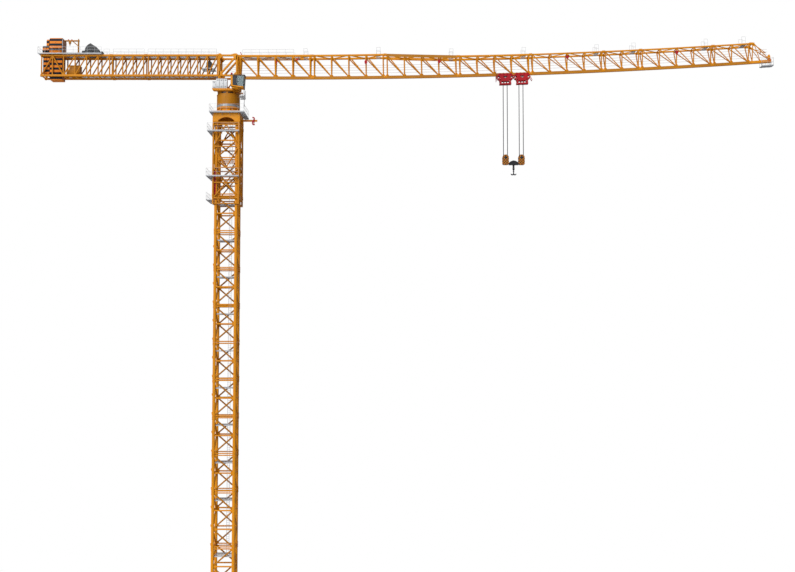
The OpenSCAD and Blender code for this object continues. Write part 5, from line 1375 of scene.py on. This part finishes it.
motor.append(blocks((wx + 284, -20, wz + 50), (wx + 310, 14, wz + 62), 2))
addPiece("hoistWinch", "upperworks",
         {winchGrey: parts + discs + motor, zincSteel: bed, darkPanel: darkBand}, ["hoist_winch"])

locker = {"x": -2488.0, "low": 8167.5}
lx, lz = locker["x"], locker["low"]
lockerParts = [blocks((lx, -64, lz), (lx + 164, 64, lz + 158), 3),
               blocks((lx - 3, -69, lz + 156), (lx + 167, 69, lz + 164), 2),
               blocks((lx - 42, -60, lz), (lx, 60, lz + 98), 3),
               blocks((lx - 44, -62, lz + 94), (lx, 62, lz + 99), 1.5)]
for s in (-1, 1):
    lockerParts += [blocks((lx + t, s * 64 - 1.4, lz + 8), (lx + t + 72, s * 64 + 1.4, lz + 148), 1)
                    for t in (7, 85)]
    lockerParts += [rods((lx + t, s * 67, lz + 70), (lx + t, s * 67, lz + 88), 1.6, 8) for t in (74, 90)]
# the locker takes the darker copy of the orange: painted shade
addPiece("ropeLocker", "upperworks", {paintedShadeOrange: lockerParts}, ["rope_locker"])

davit = {"x": -2365.0, "z": 8504.5}
dx, dz = davit["x"], davit["z"]
davitParts = [turned([(0, 0), (17, 0), (17, 6), (14, 8), (12.4, 14), (12, 20), (12, 222), (14, 226),
                      (14, 236), (0, 236)], (dx, 0, dz), upwards, 20),
              bars((dx - 218, 0, dz + 234), (dx + 14, 0, dz + 234), 19, 20, 2),
              rods((dx, 0, dz + 150), (dx - 92, 0, dz + 228), 6.5, 10),
              turned([(12, 0), (9, 8), (6, 20), (4, 26), (0, 26)], (dx, 0, dz + 242), upwards, 18)]
davitRed = [turned([(0, 0), (10, 0), (10, 3), (7, 5), (7, 7), (10, 9), (10, 12), (0, 12)],
                   [(dx - t, -5, dz + 249) for t in (159, 106)], sideways, 18)]
davitParts += [blocks((dx - 153, -12, dz + 192), (dx - 119, 12, dz + 227), 3),
               turned([(0, 0), (4, 0), (8, 18), (13, 38), (0, 38)], (dx - 136, 0, dz + 156), upwards, 14)]
# the davit takes the darker copy of the orange: painted shade
addPiece("davit", "upperworks", {paintedShadeOrange: davitParts, redPaint: davitRed}, ["davit"])

ropeWinch = {"x": -300.0, "floor": counter["low"] + 112, "axle": counter["low"] + 202,
             "coil": 41.8, "turns": 18,
             "drum": [(0, 0), (46, 0), (46, 3), (40, 4), (40, 86), (46, 87), (46, 90), (0, 90)],
             "stand": [(-34, 0), (34, 0), (24, 60), (12, 96), (-12, 96), (-24, 60)],
             "motor": [(0, 0), (17, 0), (17, 34), (14, 38), (0, 38)]}
x, z, axle, coil = (ropeWinch[key] for key in ("x", "floor", "axle", "coil"))
turns = np.linspace(0, 2 * math.pi * ropeWinch["turns"], ropeWinch["turns"] * 20)
wound = np.stack([x + coil * np.cos(turns), -38 + 76 * turns / turns[-1], axle + coil * np.sin(turns)], 1)
drumParts = [turned(ropeWinch["drum"], (x, -45, axle), sideways, 32),
             sheets(ropeWinch["stand"], [(x, y, z + 12) for y in (-52, 52)], 8),
             turned(ropeWinch["motor"], (x, 56, axle), sideways, 22),
             blocks((-332, -60, z + 10), (-268, 60, z + 20), 2)]
# the platform's grating in the lighter steel: painted light on its underside, which lies in shade
addPiece("trolleyWinch", "upperworks",
         {winchGrey: drumParts, wireRope: [carried(circleOutline(1.7, 6), wound)],
          paleSteel: grating((-415, -101, z), (-211, 101, z + 11), 11, 3)}, ["trolley_winch"])
print("winches made")

trolley = {"x": 4470.0, "pitch": 265.0, "wheelPitch": 56.5, "wing": 128.0, "plateY": 40.0, "wheelOver": -0.7}
wing = trolley["wing"]
sideSheet = line((100, 3), (-100, 3), (8 - wing, -14), (-wing, -28), (-wing, -66), (16 - wing, -84),
                 (-94, -92), (-86, -122), (-92, -146), (-92, -166), (92, -166), (92, -146), (86, -122),
                 (94, -92), (wing - 16, -84), (wing, -66), (wing, -28), (wing - 8, -14))
holes = [circleOutline(17, 24) + (s * 103, -48) for s in (-1, 1)]
holes += [circleOutline(9, 16) + (s * 74, -96) for s in (-1, 1)]
holes.append(line((30, -54), (30, -34), (-30, -34), (-30, -54)))
holes += [line((t + 19, -146), (t + 19, -114), (t - 19, -114), (t - 19, -146)) for t in (-44, 0, 44)]


def trolleyParts(inner):
    # one trolley about its own centre: side plates, wheels, sheaves and cross members
    y = trolley["plateY"]
    red, steelParts, dark = [], [], []
    over = trolley["wheelOver"]
    wheelX = [t * trolley["wheelPitch"] for t in (-1.5, -0.5, 0.5, 1.5)]
    rim = [(0, 0), (15.3, 0), (15.3, 1.6), (15, 2.4), (15, 10.6), (14, 11.6), (8, 11.6), (7, 9), (0, 9)]
    for s in (-1, 1):
        red.append(plate(sideSheet, (0, s * y + 2.5, 0), (0, s * y - 2.5, 0), holes))
        for hole in holes[:2]:
            centre = hole.mean(0)
            red.append(turned([(17, -4), (19.5, -4), (19.5, 4), (17, 4)], (-centre[0], s * y, centre[1]),
                              sideways, 24, True))
        red.append(turned([(0, 0), (16, 0), (16, 4), (14, 5.5), (6, 5.5), (6, 8), (0, 8)],
                          [(x, s * (y + 2), -1) for x in wheelX], (0, s, 0), 24))
        red.append(carried(rectangle(9, 2), line((-100, s * (y - 3), 2), (100, s * (y - 3), 2))))
        red.append(carried(rectangle(11, 2), line((-92, s * (y - 4), -165), (92, s * (y - 4), -165))))
        red.append(bars([(t, s * y, -100) for t in (-66, -22, 22, 66)],
                        [(t, s * y, -148) for t in (-66, -22, 22, 66)], 4, 9, 1))
        steelParts.append(turned(rim, [(x, s * 29.5, over) for x in wheelX], (0, -s, 0), 28))
        steelParts.append(rods([(x, s * 22, over) for x in wheelX],
                               [(x, s * 44, over) for x in wheelX], 4.4, 14))
        steelParts.append(bolts([(x, s * 42.5, over) for x in wheelX], (0, s, 0), 6, 4))
        steelParts.append(turned([(7, 14), (7, 30), (11, 30), (11, 38), (7, 44), (0, 44)], (0, 0, -62),
                                 (0, s, 0), 18))
        heads = [(t, s * 42.5, z) for t in (-84, 84) for z in (-76, -104, -156)]
        steelParts.append(bolts(heads, (0, s, 0), 2.6, 2.6))
        steelParts.append(sheave((0, s * 16, -62), 32, 13, 36))
        red.append(blocks((s * 88 - 4, -y, -118), (s * 88 + 4, y, -62), 2))
        red.append(rods((s * 60, -y, -154), (s * 60, y, -154), 6, 12))
        dark.append(turned([(0, 0), (8, 0), (9, 2), (9, 10), (8, 12), (0, 12)], (s * 110, 0, -34.5),
                           upwards, 16))
        red.append(bars((s * 110, -y, -27), (s * 110, y, -27), 14, 5, 1))
    red.append(blocks((-92, -y, -166), (92, y, -162), 1.5))
    steelParts.append(rods((0, -16, -62), (0, 16, -62), 5, 14))
    if inner:
        for s in (-1, 1):
            red.append(blocks((wing - 6, s * y - 3, -60), (265 - wing + 2, s * y + 3, -36), 2))
            red.append(bars((-wing - 14, s * y, -110), (-wing - 14, s * y, 58), 7, 6, 1.5))
            red.append(bars((-wing - 12, s * y, -47), (6 - wing, s * y, -47), 6, 14, 1.5))
            steelParts.append(rods([(t, s * (y - 6), -48) for t in (wing - 2, 265 - wing - 3)],
                                   [(t, s * (y + 6), -48) for t in (wing - 2, 265 - wing - 3)], 5, 14))
        x = -wing - 14
        red.append(bars([(x, -y, -106), (x, -y, 54)], [(x, y, -106), (x, 14 - y, 54)], 5, 6, 1))
    else:
        for s in (-1, 1):
            red.append(bars((wing - 6, s * y, -44), (wing + 26, s * y, -112), 6, 8, 1.5))
        red.append(rods((wing + 24, -y, -108), (wing + 24, y, -108), 3.4, 10))
    return red, steelParts, dark


for name, node, s, inner in (("trolleyInner", "trolley_inner", -1, True),
                             ("trolleyOuter", "trolley_outer", 1, False)):
    place = trolley["x"] + s * trolley["pitch"] / 2
    red, steelParts, dark = ([(onJib(points, place), faces) for points, faces in group]
                             for group in trolleyParts(inner))
    addPiece(name, "trolleys", {redPaint: red, wornSteel: steelParts, blackPaint: dark}, [node])

hook = {"x": 4469.357, "z": 6636.0, "places": (-130.0, 118.0), "sheave": 29.5, "rope": 1.8,
        "bolts": ((-38, 12), (38, 12), (-34, -92), (34, -92), (0, 40))}
hx, blockZ = hook["x"], hook["z"] + 248
fallX = np.array([p + s * (hook["sheave"] + hook["rope"] + 0.2) for p in hook["places"] for s in (-1, 1)])
falls = []
for x in fallX:
    topZ = float(jibPoint(trolley["x"] + x, 0, -166.5)[2])
    steps = np.linspace(blockZ, topZ, 40)
    for y in (-5, 5):
        falls.append(carried(circleOutline(3.7, 8),
                             np.stack([np.full(40, hx + x + y * 0.55), np.full(40, y), steps], 1)))
hoistRopes = addPiece("hoistRopes", None, {wireRope: falls}, ["hoist_ropes"])
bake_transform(hoistRopes)

blockPlate = np.concatenate([arcOutline((0, 0), 50, 0, 180, 25), arcOutline((-26, -88), 24, 180, 270, 9),
                             arcOutline((26, -88), 24, -90, 0, 9)])
hatch, axles, sheaves = [], [], []
for place in hook["places"]:
    for s in (-1, 1):
        y = s * 21
        hatch.append(plate(blockPlate, (hx + place, y + 4, blockZ), (hx + place, y - 4, blockZ)))
        axles.append(turned([(0, 24), (20, 24), (20, 27), (14, 28), (12, 34), (10, 35), (0, 35)],
                            (hx + place, 0, blockZ), (0, s, 0), 26))
        heads = [(hx + place + u, s * 25, blockZ + v) for u, v in hook["bolts"]]
        axles.append(bolts(heads, (0, s, 0), 3.2, 3.4))
    sheaves.append(sheave((hx + place, 0, blockZ), hook["sheave"] - 0.2, 15, 36))
    axles.append(rods((hx + place, -25, blockZ), (hx + place, 25, blockZ), 8, 16))
    hatch.append(blocks((hx + place - 42, -17, blockZ - 106), (hx + place + 42, 17, blockZ - 80), 3))
addPiece("hookBlocks", "hook_set", {blockHatch: hatch, darkPanel: axles, wornSteel: sheaves},
         ["hook_blocks"])

left, right = hook["places"][0] + 50, hook["places"][1] - 50
mid, half = (left + right) / 2, (right - left) / 2
share = np.linspace(-1, 1, 25)
archTop = np.stack([mid + half * share, 66 - 34 * share ** 2], 1)
tLow, shankLow = blockZ - 114, blockZ - 192
arched = [plate(np.concatenate([line((left, 0), (right, 0)), archTop[::-1]]), (hx, 24, tLow),
                (hx, -24, tLow))]
ribLine = np.stack([hx + archTop[:, 0], np.zeros(25), tLow + archTop[:, 1] - 1.5], 1)
arched.append(carried(barOutline(56, 5, 1.5), ribLine))
shank = [(0, 0), (13, 0), (15, 1.5), (17, 8), (16.8, 18), (16, 24), (14.4, 40), (14.4, 50), (15, 62),
         (17, 72), (17, 74), (17, 90), (0, 90)]
arched.append(turned(shank, (hx + mid, 0, shankLow), upwards, 32))
addPiece("hookTraverse", "hook_set",
         {blackPaint: arched, wornSteel: [turned([(0, 58), (12, 58), (12, 66), (9, 72), (5, 74), (0, 74)],
                                                 (hx + mid, 0, tLow), upwards, 24)]}, ["hook_traverse"])

horn = {"radius": 20.0, "thick": 8.8}


def hornPart(s):
    # a horn: a half circle under its centre whose section swells at the saddle and tapers to a rounded tip
    turn = np.linspace(0.0, 1.0, 32)
    angle = math.pi * (1 + turn) if s > 0 else math.pi * (2 - turn)
    centre = np.stack([hx - 6 + s * horn["radius"] + horn["radius"] * np.cos(angle), 0 * turn,
                       hook["z"] + horn["radius"] * np.sin(angle)], 1)
    swell = 1.0 + 0.16 * np.sin(math.pi * turn) - 0.42 * turn ** 3
    close = np.sqrt(np.clip(1 - ((turn - 0.9) / 0.105) ** 2, 0.02, 1))
    radius = horn["thick"] * swell * np.where(turn > 0.9, close, 1.0)
    along = unit(np.gradient(centre, axis=0))
    lift = np.cross(along, sideways)
    u, v = circleOutline(1.0, 16).T[:, None, :, None]
    shape = u * 1.12 * line(*sideways) + v * 0.95 * lift[:, None]
    rows = centre[:, None] + radius[:, None, None] * shape
    return rows.reshape(-1, 3), tubeFaces(32, 16)


neck = [(0, -8), (9.4, -8), (9, 4), (8.6, 20), (9, 29), (13, 30), (13.4, 32), (13.4, 37), (13, 39),
        (9.4, 39.4), (9, 44), (9, shankLow - hook["z"] - 0.3), (0, shankLow - hook["z"] - 0.3)]
addPiece("ramshornHook", "hook",
         {forgedSteel: [hornPart(-1), hornPart(1), turned(neck, (hx - 6, 0, hook["z"]), upwards, 26)]},
         ["ramshorn_hook"])
print("trolleys and hook made")

# the CAD solids that stay showing take finishes of their own
for node, finish in (("foundation_frame", orangePaint), ("ring_support", orangePaint)):
    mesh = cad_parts[node].data
    mesh.materials.clear()
    mesh.materials.append(finish)

# the floor ends just behind the crane, so the low picture edge stays as white as the photograph's
room = {"floorZ": -0.003, "side": 12.0, "front": -3.2, "back": 2.4}
floorMesh = bpy.data.meshes.new("floor")
side, front, back = room["side"], room["front"], room["back"]
floorCorners = [(-side, front), (side, front), (side, back), (-side, back)]
floorPoints = [(x, y, room["floorZ"]) for x, y in floorCorners]
floorMesh.from_pydata(floorPoints, [], [(0, 1, 2, 3)])
floorPiece = bpy.data.objects.new("floor", floorMesh)
bpy.context.scene.collection.objects.link(floorPiece)
floorTree = NodeTree("floorPale")
floorTone = floorTree.mix(floorTree.noise(0.4, 3.0), (0.76, 0.76, 0.76), (0.80, 0.80, 0.80))
floorMesh.materials.append(floorTree.finish(floorTone, 0.9))

sky = {"shown": 1.0, "light": 0.27}
world = bpy.data.worlds.new("paleRoom")
world.use_nodes = True
worldNodes, worldLinks = world.node_tree.nodes, world.node_tree.links
shownSky = worldNodes["Background"]
shownSky.inputs["Color"].default_value = (1.0, 1.0, 1.0, 1.0)
shownSky.inputs["Strength"].default_value = sky["shown"]
softSky = worldNodes.new("ShaderNodeBackground")
softSky.inputs["Color"].default_value = (0.93, 0.96, 1.0, 1.0)
softSky.inputs["Strength"].default_value = sky["light"]
whichRay = worldNodes.new("ShaderNodeLightPath")
skyMix = worldNodes.new("ShaderNodeMixShader")
worldLinks.new(whichRay.outputs["Is Camera Ray"], skyMix.inputs["Fac"])
worldLinks.new(softSky.outputs["Background"], skyMix.inputs[1])
worldLinks.new(shownSky.outputs["Background"], skyMix.inputs[2])
worldLinks.new(skyMix.outputs["Shader"], worldNodes["World Output"].inputs["Surface"])
bpy.context.scene.world = world
bpy.context.scene.view_settings.view_transform = "Standard"


def sunLamp(name, towards, strength, spread):
    # a distant soft lamp: its light runs along the given direction, blurred over an angle
    lamp = bpy.data.lights.new(name, "SUN")
    lamp.energy = strength
    lamp.angle = math.radians(spread)
    holder = bpy.data.objects.new(name, lamp)
    x, y, z = towards
    holder.rotation_euler = (math.atan2(math.hypot(x, y), -z), 0.0, math.atan2(-x, y))
    bpy.context.scene.collection.objects.link(holder)


sunLamp("keyLamp", (0.42, 0.84, -0.52), 3.0, 48.0)
sunLamp("rimLamp", (-0.5, -0.6, -0.6), 0.5, 25.0)
sunLamp("bounceLamp", (-0.1, 0.5, 0.86), 0.7, 60.0)
print("room and lamps placed")
